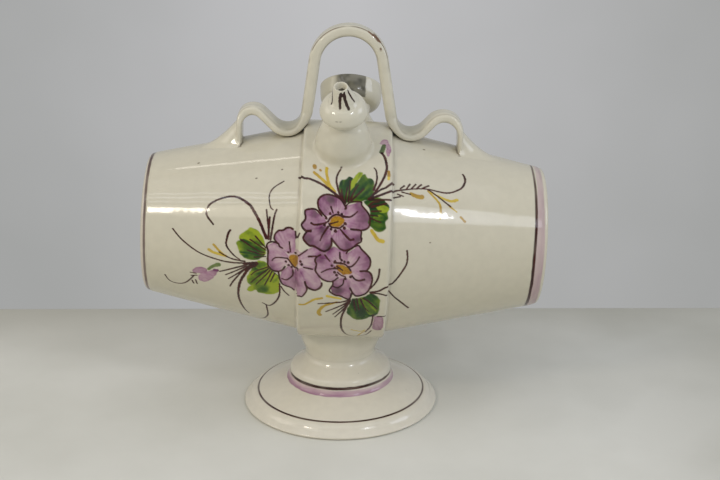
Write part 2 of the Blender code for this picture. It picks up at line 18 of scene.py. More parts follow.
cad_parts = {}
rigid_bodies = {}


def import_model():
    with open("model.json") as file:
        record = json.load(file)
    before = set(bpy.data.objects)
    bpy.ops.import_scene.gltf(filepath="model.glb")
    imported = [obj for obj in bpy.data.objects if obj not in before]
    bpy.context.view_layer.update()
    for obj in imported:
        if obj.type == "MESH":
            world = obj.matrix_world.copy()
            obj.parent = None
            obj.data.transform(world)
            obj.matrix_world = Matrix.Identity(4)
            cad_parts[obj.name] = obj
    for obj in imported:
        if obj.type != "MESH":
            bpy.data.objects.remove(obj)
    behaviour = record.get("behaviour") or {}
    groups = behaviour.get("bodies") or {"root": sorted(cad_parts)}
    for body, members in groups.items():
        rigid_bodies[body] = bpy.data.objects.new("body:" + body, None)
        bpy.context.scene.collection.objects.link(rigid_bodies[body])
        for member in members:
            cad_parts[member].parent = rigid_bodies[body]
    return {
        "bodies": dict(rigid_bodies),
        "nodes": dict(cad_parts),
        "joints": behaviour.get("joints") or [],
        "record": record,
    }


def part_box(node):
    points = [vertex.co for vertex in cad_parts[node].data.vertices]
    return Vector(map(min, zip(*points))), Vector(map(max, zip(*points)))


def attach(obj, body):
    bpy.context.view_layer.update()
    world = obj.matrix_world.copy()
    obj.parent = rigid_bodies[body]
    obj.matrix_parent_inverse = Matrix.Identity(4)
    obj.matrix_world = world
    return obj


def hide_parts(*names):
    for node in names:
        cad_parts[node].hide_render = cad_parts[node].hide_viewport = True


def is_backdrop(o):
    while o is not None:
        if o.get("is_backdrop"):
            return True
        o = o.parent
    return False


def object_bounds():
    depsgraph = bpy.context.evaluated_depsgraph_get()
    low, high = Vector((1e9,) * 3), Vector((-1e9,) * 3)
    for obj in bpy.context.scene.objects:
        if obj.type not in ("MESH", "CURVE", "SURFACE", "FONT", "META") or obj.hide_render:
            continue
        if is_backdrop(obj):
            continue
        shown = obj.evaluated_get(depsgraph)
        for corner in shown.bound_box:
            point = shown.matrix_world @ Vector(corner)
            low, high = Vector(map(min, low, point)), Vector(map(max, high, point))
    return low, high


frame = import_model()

MM = 0.001
CAD_BOX = [list(corner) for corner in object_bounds()]
print("pieces in the frame:", len(frame["nodes"]))

# %% [markdown]
# Where the pieces stand. The barrel and all that sits on it hang a little to the right, so
# they share one tilted frame, and the spout and the mouth have frames of their own on the
# band. The band's box gives the barrel's centre and radius, and the foot's box gives the
# foot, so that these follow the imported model.

# %% Frames of barrel, spout, mouth and foot
BARREL_ROLL = math.radians(2.4)
band_low, band_high = (Vector(corner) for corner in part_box("centre_band"))
foot_low, foot_high = (Vector(corner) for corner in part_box("foot_pedestal"))
BARREL_CENTRE = (band_low + band_high) / 2
BAND_RADIUS = (band_high.y - band_low.y) / 2
FOOT_RADIUS = (foot_high.x - foot_low.x) / 2
FOOT_HEIGHT = foot_high.z
FOOT_CENTRE = Vector(((foot_low.x + foot_high.x) / 2, (foot_low.y + foot_high.y) / 2, 0))

SPOUT_ANGLE = math.radians(25)
SPOUT_OFF_CENTRE = -3.2 * MM
SPOUT_TURN = Euler((math.radians(30), math.radians(-1.5), 0))
MOUTH_ANGLE = math.radians(37.5)
MOUTH_OFF_CENTRE = 1.4 * MM

barrel_frame = Matrix.Translation(BARREL_CENTRE) @ Matrix.Rotation(BARREL_ROLL, 4, "Y")
spout_root = Vector((0, -math.sin(SPOUT_ANGLE), math.cos(SPOUT_ANGLE))) * BAND_RADIUS
spout_root.x = SPOUT_OFF_CENTRE
spout_frame = barrel_frame @ Matrix.Translation(spout_root) @ SPOUT_TURN.to_matrix().to_4x4()
mouth_root = Vector((0, math.sin(MOUTH_ANGLE), math.cos(MOUTH_ANGLE))) * BAND_RADIUS
mouth_root.x = MOUTH_OFF_CENTRE
mouth_frame = barrel_frame @ Matrix.Translation(mouth_root) @ Matrix.Rotation(-MOUTH_ANGLE, 4, "X")
foot_frame = Matrix.Translation(FOOT_CENTRE)
print("barrel centre (mm):", [round(v / MM, 1) for v in BARREL_CENTRE])
print("band radius, foot radius (mm):", round(BAND_RADIUS / MM, 1), round(FOOT_RADIUS / MM, 1))

# %% [markdown]
# The camera comes before the surfaces, so that every look at the work is from the place
# of the photograph: a step back from the table, a little above the jug, looking down on
# it at about 19 degrees with a long lens, which keeps the barrel's two ends alike. It
# could be dragged into place by eye. Here it is set by a distance, a pitch and a turn
# about one target, because fitting it to the photograph gives just these.

# %% Camera
CAMERA_DISTANCE = 1041.2 * MM
CAMERA_PITCH = math.radians(19.43)
CAMERA_YAW = math.radians(-0.24)
CAMERA_TARGET = Vector((11.5 * MM, BARREL_CENTRE.y, 127.0 * MM))
SENSOR_WIDTH = 36
LENS = 70.915
SIGHT = 20

camera_data = bpy.data.cameras.new("photo_camera")
camera_data.sensor_width = SENSOR_WIDTH
camera_data.lens = LENS
camera_data.clip_end = SIGHT
camera = bpy.data.objects.new("photo_camera", camera_data)
bpy.context.scene.collection.objects.link(camera)
back = Vector((
    math.sin(CAMERA_YAW) * math.cos(CAMERA_PITCH),
    -math.cos(CAMERA_YAW) * math.cos(CAMERA_PITCH),
    math.sin(CAMERA_PITCH),
))
camera.location = CAMERA_TARGET + back * CAMERA_DISTANCE
camera.rotation_euler = (-back).to_track_quat("-Z", "Y").to_euler()
bpy.context.scene.camera = camera
print("camera at (mm):", [round(v / MM) for v in camera.location])

# %% [markdown]
# Colours are written as the hex values that a painter's chart gives, and one function
# turns them into the linear light that the shaders work in. A second one adds a node with
# its settings and its links, so that a material reads as a short list.

# %% Colours and nodes


def linear(hex_colour):
    """The linear RGB values of an sRGB colour such as "#D8D1BC"."""
    values = [int(hex_colour[i:i + 2], 16) / 255 for i in (1, 3, 5)]
    return tuple(v / 12.92 if v <= 0.04045 else ((v + 0.055) / 1.055) ** 2.4 for v in values)


def add_node(tree, kind, settings):
    """A shader node of one kind. Settings name its properties and sockets.

    A socket is given a value, or another node's output, which is then linked to it. The
    stops of a colour ramp are its (place, hex colour) pairs.
    """
    node = tree.nodes.new("ShaderNode" + kind)
    for name, value in settings.items():
        if isinstance(value, bpy.types.NodeSocket):
            tree.links.new(value, node.inputs[name])
        elif name == "stops":
            elements = node.color_ramp.elements
            for _ in value[2:]:
                elements.new(0.5)
            for element, (place, colour) in zip(elements, value):
                element.position = place
                element.color = (*linear(colour), 1)
        elif isinstance(name, int) or name in node.inputs:
            node.inputs[name].default_value = value
        else:
            setattr(node, name, value)
    return node


print("a grey of #808080 in linear light:", round(linear("#808080")[0], 3))

# %% [markdown]
# The jug was photographed on a pale board in front of a plain wall. A plane would do for
# the board's top, but its far edge is the line behind the jug, so it is a closed slab with
# rounded long edges. It is matt, with faint blots of dust, dustier toward its far edge, and
# darker toward its right, where the darker tone is painted shade. The wall is far away, so
# it is the colour of the world behind.

# %% Board


def arc(centre, radius, start, end, steps=10):
    """Points on an arc, angles in degrees."""
    angles = np.radians(np.linspace(start, end, steps + 1))
    return np.stack([centre[0] + radius * np.cos(angles), centre[1] + radius * np.sin(angles)], -1)


BOARD_BACK = 180 * MM
BOARD_FRONT = -0.8
BOARD_HALF_WIDTH = 1.1
BOARD_THICKNESS = 40 * MM
BOARD_EDGE = 8 * MM
BOARD_EDGE_STEPS = 8


def make_board():
    """One outline with rounded corners, drawn out from side to side."""
    profile = []
    corners = [
        (BOARD_BACK, 0, 0), (BOARD_BACK, -BOARD_THICKNESS, -90),
        (BOARD_FRONT, -BOARD_THICKNESS, 180), (BOARD_FRONT, 0, 90),
    ]
    for y, z, turn in corners:
        middle = (y - math.copysign(BOARD_EDGE, y), z - BOARD_EDGE if z == 0 else z + BOARD_EDGE)
        corner = arc(middle, BOARD_EDGE, turn + 90, turn, BOARD_EDGE_STEPS)
        profile += [tuple(point) for point in corner]
    count = len(profile)
    verts = [(side * BOARD_HALF_WIDTH, y, z) for side in (-1, 1) for y, z in profile]
    faces = [(i, (i + 1) % count, count + (i + 1) % count, count + i) for i in range(count)]
    faces += [tuple(range(count))[::-1], tuple(range(count, 2 * count))]
    mesh = bpy.data.meshes.new("pale_board")
    mesh.from_pydata(verts, [], faces)
    board = bpy.data.objects.new("pale_board", mesh)
    bpy.context.scene.collection.objects.link(board)
    board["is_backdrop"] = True
    return board


board = make_board()
print("board ends", round(BOARD_BACK / MM), "mm behind the origin")

# %% Board finish
# Blots of dust are about 170 mm across.
BOARD_BLOTS = 6.0
BOARD_DULL_FAR = (40 * MM, 170 * MM)
# Toward the right the board darkens as painted shade.
BOARD_SHADE_RIGHT = (170 * MM, 300 * MM)
BOARD_SHADE_RIGHT_SHARE = 0.8
BOARD_TONES = [("#CDCCC2", "#D9D8CF"), ("#AFADA1", "#BDBBB0")]


def matt_board():
    """Rubbed, unpolished board: rough and hardly glossy, so that no lamp shows in it."""
    material = bpy.data.materials.new("matt_board")
    material.use_nodes = True
    tree = material.node_tree
    shader = tree.nodes["Principled BSDF"]
    shader.inputs["Roughness"].default_value = 0.9
    shader.inputs["Specular IOR Level"].default_value = 0.2
    place = add_node(tree, "TexCoord", {}).outputs["Object"]
    blots = add_node(tree, "TexNoise", {
        "Vector": place, "Scale": BOARD_BLOTS, "Detail": 5.0,
    })
    parts = add_node(tree, "SeparateXYZ", {"Vector": place}).outputs
    # Darker toward the far edge, where dust lies, and toward the right, where the darker tone is painted
    # shade.
    far = add_node(tree, "MapRange", {
        "Value": parts["Y"], "From Min": BOARD_DULL_FAR[0], "From Max": BOARD_DULL_FAR[1],
    })
    right = add_node(tree, "MapRange", {
        "Value": parts["X"], "From Min": BOARD_SHADE_RIGHT[0], "From Max": BOARD_SHADE_RIGHT[1],
        "To Max": BOARD_SHADE_RIGHT_SHARE,
    })
    dust_and_shade = add_node(tree, "Math", {
        "operation": "MAXIMUM", 0: far.outputs[0], 1: right.outputs[0],
    })
    clean, dusty_and_shaded = (
        add_node(tree, "ValToRGB", {
            "Fac": blots.outputs["Fac"], "stops": [(0.35, dark), (0.65, pale)],
        }).outputs["Color"]
        for dark, pale in BOARD_TONES
    )
    mixed = add_node(tree, "Mix", {
        "data_type": "RGBA", 0: dust_and_shade.outputs[0], 6: clean, 7: dusty_and_shaded,
    })
    tree.links.new(mixed.outputs[2], shader.inputs["Base Color"])
    return material


board.data.materials.append(matt_board())
print("board tones:", BOARD_TONES)

# %% [markdown]
# The light. Two small lamps stand left and right in front, about 32 degrees up, each with
# a larger and fainter glow behind it. Their images are the white streaks on the barrel.
# Three thin strips above the left lamp are the slats of a blind, and a tube behind the jug
# at the left draws the thin streak along the top of the left shell. Two windows at the
# sides, a wide light on the ceiling and an even grey room fill the shadows. Spots and a
# sun would give points of light, so all are area lamps: the glaze mirrors their size and
# place. Their level is one at which a colour renders about as it is written.

# %% Lamps
LAMPS = {
    # name: (side angle, elevation, distance, width, height, power, colour)
    "left_lamp": (-43.5, 31.5, 1.35, 0.22, 0.14, 2.4, "#FFF4E2"),
    "right_lamp": (36, 33, 1.35, 0.05, 0.14, 1.8, "#F6F8FF"),
    "left_glow": (-38, 32, 1.5, 0.36, 0.34, 0.7, "#FFF4E2"),
    "right_glow": (38, 32, 1.5, 0.40, 0.40, 1.6, "#EEF3FF"),
    "left_blind_low": (-44, 42, 1.5, 0.8, 0.03, 0.25, "#F4F6FF"),
    "left_blind_middle": (-44, 47, 1.5, 0.9, 0.04, 0.35, "#F4F6FF"),
    "left_blind_high": (-44, 51.5, 1.5, 0.9, 0.03, 0.25, "#F4F6FF"),
    "right_window": (82, 22, 1.4, 0.6, 0.6, 3.4, "#E6EDFF"),
    "left_window": (-80, 25, 1.6, 0.8, 0.8, 3.6, "#FFF6EA"),
    "left_rear_tube": (-127, 65, 1.6, 0.05, 0.36, 0.3, "#FFF8EC"),
    "ceiling": (0, 72, 1.9, 2.4, 1.4, 4.4, "#F4F6FF"),
}


def area_lamp(name, side, elevation, distance, width, height, power, colour):
    """A lamp that looks at the barrel's centre, its side angle counted from the front."""
    data = bpy.data.lights.new(name, "AREA")
    data.shape = "RECTANGLE"
    data.size, data.size_y = width, height
    data.energy = power
    data.color = linear(colour)
    lamp = bpy.data.objects.new(name, data)
    bpy.context.scene.collection.objects.link(lamp)
    side, elevation = math.radians(side), math.radians(elevation)
    toward = Vector((
        math.sin(side) * math.cos(elevation),
        -math.cos(side) * math.cos(elevation),
        math.sin(elevation),
    ))
    lamp.location = BARREL_CENTRE + toward * distance
    lamp.rotation_euler = (-toward).to_track_quat("-Z", "Y").to_euler()


for name, settings in LAMPS.items():
    area_lamp(name, *settings)
print("lamps:", list(LAMPS))

# %% Room and wall
ROOM_COLOUR = "#EEF0F4"
ROOM_STRENGTH = 0.54
# The direction of the wall's palest place, a painted pool of light, and its tones by their
# distance from there, darker away from it as painted shade.
WALL_LIGHT_POOL = (0.0, 0.985, -0.17)
WALL_LIT_AND_SHADED_TONES = [(0.0, "#BFBFC1"), (0.3, "#A3A4A3"), (0.8, "#ABABAD")]
WALL_UNEVEN = 0.16


def hang_wall(tree, room):
    """The wall that the camera and the glaze see behind everything else."""
    toward = add_node(tree, "TexCoord", {}).outputs["Generated"]
    away = add_node(tree, "VectorMath", {
        "operation": "DISTANCE", 0: toward, 1: WALL_LIGHT_POOL,
    })
    clouds = add_node(tree, "TexNoise", {"Vector": toward, "Scale": 7.0, "Detail": 3.0})
    uneven = add_node(tree, "Math", {
        "operation": "MULTIPLY_ADD", 0: clouds.outputs["Fac"], 1: WALL_UNEVEN, 2: -WALL_UNEVEN / 2,
    })
    away = add_node(tree, "Math", {
        "operation": "ADD", 0: away.outputs["Value"], 1: uneven.outputs[0],
    })
    # The wall's tones paint a pool of light behind the jug and painted shade away from it.
    tone = add_node(tree, "ValToRGB", {"Fac": away.outputs[0], "stops": WALL_LIT_AND_SHADED_TONES})
    wall = add_node(tree, "Background", {"Color": tone.outputs["Color"], "Strength": 1.0})
    path = add_node(tree, "LightPath", {})
    seen = add_node(tree, "Math", {
        "operation": "MAXIMUM", 0: path.outputs["Is Camera Ray"], 1: path.outputs["Is Glossy Ray"],
    })
    seen = add_node(tree, "Math", {
        "operation": "MAXIMUM", 0: seen.outputs[0], 1: path.outputs["Is Transmission Ray"],
    })
    both = add_node(tree, "MixShader", {
        0: seen.outputs[0], 1: room.outputs[0], 2: wall.outputs[0],
    })
    tree.links.new(both.outputs[0], tree.nodes["World Output"].inputs["Surface"])


world = bpy.data.worlds.new("soft_room")
bpy.context.scene.world = world
world.use_nodes = True
room = world.node_tree.nodes["Background"]
room.inputs["Color"].default_value = (*linear(ROOM_COLOUR), 1)
room.inputs["Strength"].default_value = ROOM_STRENGTH
hang_wall(world.node_tree, room)
bpy.context.scene.view_settings.view_transform = "Standard"
print("room strength:", ROOM_STRENGTH)

# %% [markdown]
# Every piece is a skin of rings. A ring is one row of points right round the piece, and
# neighbouring rings are joined by quads. A thrown wall is a loop of rings, up its outside
# and down its inside; a head or the strap is a row of rings closed by a fan at each end.
# A modifier could spin a profile, but arrays of points can also be bent, worn and painted,
# stay quick with hundreds of thousands of points, and make each skin one closed solid.

# %% Skins made of rings


def closed_faces(rows, cols, loop):
    """Quads between neighbouring rings, and the triangles of the two fans if it is no loop."""
    index = np.arange(rows * cols).reshape(rows, cols)
    here = index if loop else index[:-1]
    there = np.roll(index, -1, 0) if loop else index[1:]
    quads = np.stack(
        [here, np.roll(here, -1, 1), np.roll(there, -1, 1), there], axis=-1
    ).reshape(-1, 4)
    if loop:
        return quads, np.empty((0, 3), int)
    first, last = index[0], index[-1]
    start = np.full(cols, rows * cols)
    return quads, np.vstack([
        np.stack([start, np.roll(first, -1), first], -1),
        np.stack([start + 1, last, np.roll(last, -1)], -1),
    ])


def skin(name, rings, matrix, loop=True):
    """A closed mesh over an array of rings (rings x points x 3) given in a local frame."""
    points = rings.reshape(-1, 3)
    quads, triangles = closed_faces(*rings.shape[:2], loop)
    if not loop:
        points = np.vstack([points, rings[0].mean(0), rings[-1].mean(0)])
    rotation = np.array(matrix.to_3x3())
    points = points @ rotation.T + np.array(matrix.translation)
    # The volume's sign says whether the faces point out.
    corners = points[quads]
    volume = np.einsum("ij,ij->", corners[:, 0], np.cross(corners[:, 1], corners[:, 2]))
    volume += np.einsum("ij,ij->", corners[:, 0], np.cross(corners[:, 2], corners[:, 3]))
    if volume < 0:
        quads = quads[:, ::-1]
        triangles = triangles[:, ::-1]
    mesh = bpy.data.meshes.new(name)
    mesh.vertices.add(len(points))
    mesh.vertices.foreach_set("co", points.ravel())
    mesh.loops.add(quads.size + triangles.size)
    mesh.loops.foreach_set("vertex_index", np.concatenate([quads.ravel(), triangles.ravel()]))
    mesh.polygons.add(len(quads) + len(triangles))
    starts = np.concatenate([
        np.arange(len(quads)) * 4, quads.size + np.arange(len(triangles)) * 3
    ])
    mesh.polygons.foreach_set("loop_start", starts)
    mesh.update(calc_edges=True)
    mesh.validate()
    mesh.shade_smooth()
    piece = bpy.data.objects.new(name, mesh)
    bpy.context.scene.collection.objects.link(piece)
    print(f"{name}: {len(mesh.polygons)} faces")
    return piece


# %% Curves for profiles


def curve_through(points, steps):
    """A smooth curve through the points, whose ends are repeated."""
    known = np.array([points[0], *points, points[-1]], float)
    share = np.linspace(0, 1, steps, endpoint=False)[:, None]
    parts = []
    for a, b, c, d in zip(known, known[1:], known[2:], known[3:]):
        bend = 2 * a - 5 * b + 4 * c - d
        turn_back = 3 * b - a - 3 * c + d
        parts.append(b + ((c - a) * share + bend * share**2 + turn_back * share**3) / 2)
    return np.vstack([*parts, known[-1:]])


def evenly(line, step):
    """The same line with its points one step apart along it."""
    lengths = np.hypot(*np.diff(line, axis=0).T)
    along = np.concatenate([[0], np.cumsum(lengths)])
    count = max(2, math.ceil(along[-1] / step) + 1)
    wanted = np.linspace(0, along[-1], count)
    return np.stack([np.interp(wanted, along, column) for column in line.T], -1)


def eased(value, start, end):
    """0 at start, 1 at end, and a smooth step between."""
    share = np.clip((value - start) / (end - start), 0, 1)
    return share * share * (3 - 2 * share)


print("halfway between start and end, eased gives", eased(0.5, 0, 1))

# %% [markdown]
# No thrown surface is true. Fingers leave shallow rings along the wall, the clay settles a
# little out of round, and the glaze runs over it all. The rings are a few thousandths of a
# millimetre deep and the rest a few hundredths: enough to make a lamp's image waver, too
# little to see as a shape. It could be bump in the glaze, but a real shape also bends the
# edges of the lamps' images. All of it goes inwards, so that no piece leaves the box of
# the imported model.

# %% The thrower's hand
THROWING_RING = 5.2 * MM
THROWING_DEPTH = 0.004 * MM
SLOW_WAVE = 31 * MM
SLOW_DEPTH = 0.055 * MM
OVAL = 0.06 * MM
THREE_SIDED = 0.03 * MM
INWARDS = 0.155 * MM


def thrown(along, angle, seed):
    """The change of a thrown wall's radius, at places along and round it. It is always inwards."""
    wander = 0.8 * np.sin(angle + seed) + seed
    rings = THROWING_DEPTH * np.sin(math.tau * along / THROWING_RING + wander)
    wander = 2.1 * seed + 0.5 * np.cos(2 * angle)
    waves = SLOW_DEPTH * np.sin(math.tau * along / SLOW_WAVE + wander)
    round_off = OVAL * np.cos(2 * angle + seed) + THREE_SIDED * np.cos(3 * angle - 2 * seed)
    return -(rings + waves + round_off + INWARDS)


deepest = INWARDS + THROWING_DEPTH + SLOW_DEPTH + OVAL + THREE_SIDED
print("a thrown wall lies at most", round(deepest / MM, 3), "mm inside its true round")

# %% [markdown]
# The barrel wall. The two shells taper from the band to the heads and the band stands
# proud between them. On the real jug slip fills the corner at each side of the band, so
# the band's skin runs down a small hollow on to the shells. The points lie closest where
# the painter's brush went, about a third of a millimetre apart, because the paint will be
# stored on them: an image would need an unwrapped surface and a file, and points need
# neither. Neighbouring pieces run into each other by a small lap, so that no gap shows.

# %% Barrel measures
HALF_BAND = 31.4 * MM
HALF_LENGTH = 142.5 * MM
END_RADIUS = 50 * MM
SHELL_MID_RADIUS = BAND_RADIUS - 4.4 * MM
BARREL_WALL = 5 * MM
HEAD_THICKNESS = 5.2 * MM
HEAD_DISH = 1.8 * MM
HEAD_JOINT = HALF_LENGTH - HEAD_THICKNESS
TAPER = (SHELL_MID_RADIUS - END_RADIUS) / (HALF_LENGTH - HALF_BAND)
TAPER_ANGLE = math.atan(TAPER)
LAP = 0.5 * MM
FINE = 0.36 * MM
COARSE = 1.6 * MM


def shell_radius(x):
    """The outer radius of a shell, x along the barrel from its middle."""
    return SHELL_MID_RADIUS - TAPER * (np.abs(x) - HALF_BAND)


def steps_between(marks):
    """Values from mark to mark, each stretch with its own step: (value, step), ..., last."""
    stretches = []
    for (start, step), (end, _) in zip(marks, marks[1:]):
        count = max(1, math.ceil(abs(end - start) / step))
        stretches.append(np.linspace(start, end, count, endpoint=False))
    return np.concatenate(stretches)


def turn_angles(low, high, radius, fine=FINE, coarse=COARSE):
    """Angles right round, fine between low and high. Angle 0 is the barrel's front line."""
    return steps_between([
        (low, fine / radius), (high, coarse / radius), (low + math.tau, coarse / radius)
    ])


def round_x(x, radius, angle):
    """Points round the barrel's axis, from their x, radius and angle above the front line."""
    x, radius, angle = np.broadcast_arrays(x, radius, angle)
    return np.stack([x, -radius * np.cos(angle), radius * np.sin(angle)], -1)


print("the shells taper by", round(math.degrees(TAPER_ANGLE), 1), "degrees")

# %% Shells
INNER_ROWS = 16
END_PAINT = 9 * MM


def make_shell(name, side, paint_end, low_angle, high_angle):
    """One half of the barrel wall. Paint_end is how far along the brushwork reaches."""
    start = HALF_BAND - LAP
    end = HEAD_JOINT + LAP
    outer = side * steps_between([
        (start, FINE), (paint_end, COARSE), (end - END_PAINT, FINE), (end, FINE)
    ])
    outer = np.append(outer, side * end)
    inner = side * np.linspace(end, start, INNER_ROWS)
    angles = turn_angles(low_angle, high_angle, SHELL_MID_RADIUS)
    outside = shell_radius(outer)[:, None] + thrown(outer[:, None], angles, side)
    inside = np.repeat((shell_radius(inner) - BARREL_WALL)[:, None], len(angles), 1)
    xs = np.concatenate([outer, inner])[:, None]
    return skin(name, round_x(xs, np.vstack([outside, inside]), angles), barrel_frame)


left_shell = make_shell("left_shell", -1, 126 * MM, math.radians(-64), math.radians(70))
right_shell = make_shell("right_shell", 1, 84 * MM, math.radians(-36), math.radians(80))

# %% [markdown]
# The band. Its outline climbs from each shell through a hollow of slip, rounds the band's
# edge and runs flat across the top. The spout's and the mouth's passages go through its
# wall. They could be left out, as they hardly show, but water has to run there, so two
# rods are cut from it with a Boolean before the paint goes on.

# %% Centre band
BAND_EDGE = 2.4 * MM
SLIP_HOLLOW = 1.7 * MM
SPOUT_PASSAGE = 9.0 * MM
MOUTH_BORE = 10.3 * MM
ROD_POINTS = 48
ROD_REACH = 18 * MM
ROD_PLAY = 0.1 * MM
BAND_ANGLES = (math.radians(-62), math.radians(78))


def band_side():
    """Half of the band's outline from its middle to where it lands on a shell."""
    flat = np.array([(0, BAND_RADIUS), (HALF_BAND - BAND_EDGE, BAND_RADIUS)])
    edge = arc((HALF_BAND - BAND_EDGE, BAND_RADIUS - BAND_EDGE), BAND_EDGE, 90, 4)
    landing_x = HALF_BAND + SLIP_HOLLOW
    landing = shell_radius(landing_x)
    hollow = arc((landing_x, landing + SLIP_HOLLOW), SLIP_HOLLOW, 184, 270 - math.degrees(TAPER_ANGLE))
    feather = [(landing_x + 1.6 * MM, 0.06 * MM), (landing_x + 2.2 * MM, 0.5 * MM)]
    tail = np.array([(x, shell_radius(x) - depth) for x, depth in feather])
    return evenly(np.vstack([flat[:1], evenly(flat, FINE)[1:], edge[1:], hollow, tail]), FINE)


def rod(name, radius, matrix):
    """A closed round rod along a frame's Z axis, used as a cutter."""
    angle = np.linspace(0, math.tau, ROD_POINTS, endpoint=False)
    rings = [np.stack([radius * np.cos(angle), radius * np.sin(angle), 0 * angle + z], -1)
             for z in (-ROD_REACH, ROD_REACH)]
    return skin(name, np.array(rings), matrix, loop=False)


def cut_through(piece, *rods):
    """Cuts the rods out of a piece and keeps the mesh that is left."""
    for tool in rods:
        cut = piece.modifiers.new("cut", "BOOLEAN")
        cut.operation = "DIFFERENCE"
        cut.solver = "EXACT"
        cut.object = tool
    seen = piece.evaluated_get(bpy.context.evaluated_depsgraph_get())
    mesh = bpy.data.meshes.new_from_object(seen)
    piece.modifiers.clear()
    piece.data = mesh
    for tool in rods:
        bpy.data.objects.remove(tool, do_unlink=True)


def make_band():
    half = band_side()
    line = np.vstack([half[::-1] * (-1, 1), half[1:]])
    angles = turn_angles(*BAND_ANGLES, BAND_RADIUS, FINE, 1.2 * MM)
    xs, radii = line[:, 0], line[:, 1]
    lands = np.clip((radii - SHELL_MID_RADIUS) / (2 * MM), 0, 1)[:, None]
    side = np.sign(xs)[:, None]
    # Where it lands, the band follows the wobble of the shell under it.
    wobble = lands * thrown(xs[:, None], angles, 0.4)
    wobble = wobble + (1 - lands) * thrown(xs[:, None], angles, side)
    outside = radii[:, None] + wobble
    inner_x = np.linspace(xs[-1], xs[0], INNER_ROWS)
    inside = np.full((INNER_ROWS, len(angles)), SHELL_MID_RADIUS - BARREL_WALL)
    band = skin(
        "centre_band",
        round_x(np.concatenate([xs, inner_x])[:, None], np.vstack([outside, inside]), angles),
        barrel_frame,
    )
    cut_through(
        band,
        rod("spout_rod", SPOUT_PASSAGE - ROD_PLAY, spout_frame),
        rod("mouth_rod", MOUTH_BORE - ROD_PLAY, mouth_frame),
    )
    return band


centre_band = make_band()

# %% [markdown]
# The heads close the barrel. Each is a disc with a rounded edge whose face dips a little
# to the middle, with the faint spiral that a sponge leaves when the disc turns. A flat cap
# would do from in front, but the dip and the spiral are what shows of it from the side.

# %% Heads
HEAD_EDGE = 3.2 * MM
DISH_RADIUS = 0.8 * END_RADIUS
HEAD_STEP = 0.9 * MM
SPONGE_STEP = 3.4 * MM
SPONGE_DEPTH = 0.02 * MM


def make_head(name, side):
    joint = HEAD_JOINT - LAP
    edge_centre = (HALF_LENGTH - HEAD_EDGE, shell_radius(HALF_LENGTH) - HEAD_EDGE * 0.92)
    rim = arc(edge_centre, HEAD_EDGE, 90 - math.degrees(TAPER_ANGLE), 0, 14)
    face = curve_through([
        (HALF_LENGTH - 0.02 * MM, edge_centre[1] - 2 * MM),
        (HALF_LENGTH - 0.12 * MM, DISH_RADIUS),
        (HALF_LENGTH - 0.75 * HEAD_DISH, DISH_RADIUS / 2),
        (HALF_LENGTH - HEAD_DISH, 1.2 * MM),
    ], 10)
    outer = evenly(np.vstack([[(joint, shell_radius(joint))], rim, face]), 0.45 * MM)
    inner = np.array([
        (joint - HEAD_DISH, 1.2 * MM),
        (joint - HEAD_DISH, DISH_RADIUS),
        (joint, shell_radius(joint) - BARREL_WALL),
    ])
    angles = turn_angles(math.radians(-100), math.radians(100), END_RADIUS, HEAD_STEP, HEAD_STEP)
    line = np.vstack([outer[::-1], inner[::-1]])
    xs = side * line[:, 0][:, None] + 0 * angles
    radii = line[:, 1][:, None] + 0 * angles
    near_rim = np.clip((radii - 30 * MM) / (15 * MM), 0, 1)
    radii = radii + near_rim * thrown(xs, angles, side)
    spiral = np.sin(math.tau * radii / SPONGE_STEP + angles)
    on_face = (line[:, 0] > HALF_LENGTH - 2 * HEAD_DISH)[:, None]
    xs = xs - side * on_face * SPONGE_DEPTH * (1 + spiral)
    return skin(name, round_x(xs, radii, angles), barrel_frame, loop=False)


left_head = make_head("left_head", -1)
right_head = make_head("right_head", 1)

# %% [markdown]
# Spout, mouth and collar stand on the band, which is round under them. A turned profile
# alone would hover on two sides and sink on the other two. So each of their rows is given
# a height above the band's own surface near the root and a height along the axis further
# up, and the two are eased into each other. The last rows land flat on the band, as
# smoothed slip does. A Boolean would cut the root to fit, but leave a hard edge.

# %% Turned pieces that stand on the band


def band_height(frame, x, y, upper=True):
    """Where lines along a frame's Z axis, at x and y, meet the band's surface."""
    to_barrel = np.array(barrel_frame.inverted() @ frame)
    start = (x[..., None] * to_barrel[:3, 0] + y[..., None] * to_barrel[:3, 1]) + to_barrel[:3, 3]
    along = to_barrel[:3, 2]
    a = along[1] ** 2 + along[2] ** 2
    b = start[..., 1] * along[1] + start[..., 2] * along[2]
    c = start[..., 1] ** 2 + start[..., 2] ** 2 - (BAND_RADIUS - 0.1 * MM) ** 2
    root = np.sqrt(b**2 - a * c)
    return (-b + root) / a if upper else (-b - root) / a


def stretch(base, spread, low, height, shares):
    """(radius, height) rows. Shares say how much of a spread and of a height each adds."""
    return [(base + a * spread, low + b * height) for a, b in shares]


def standing(frame, line, angles, ease):
    """Rings of (radius, height) rows on the band. Heights ease to axis heights by `ease`."""
    radii, heights = line[:, 0][:, None], line[:, 1][:, None]
    x, y = radii * np.cos(angles), radii * np.sin(angles)
    ground = band_height(frame, x, y)
    return np.stack([x, y, heights + ground * (1 - eased(heights, 0, ease))], -1)


def turned(line, angles, wobble=0.0, seed=0.0):
    """Rings of (radius, height) rows about a frame's Z axis, as uneven as wobble says."""
    radii, heights = line[:, 0][:, None], line[:, 1][:, None] + 0 * angles
    radii = radii + wobble * thrown(heights, angles, seed)
    return np.stack([radii * np.cos(angles), radii * np.sin(angles), heights], -1)


ROUND_POINTS = 180
round_angles = np.linspace(0, math.tau, ROUND_POINTS, endpoint=False)
root_height = band_height(spout_frame, np.zeros(1), np.zeros(1))[0]
print("the band lies", round(root_height / MM, 2), "mm above the spout's root")

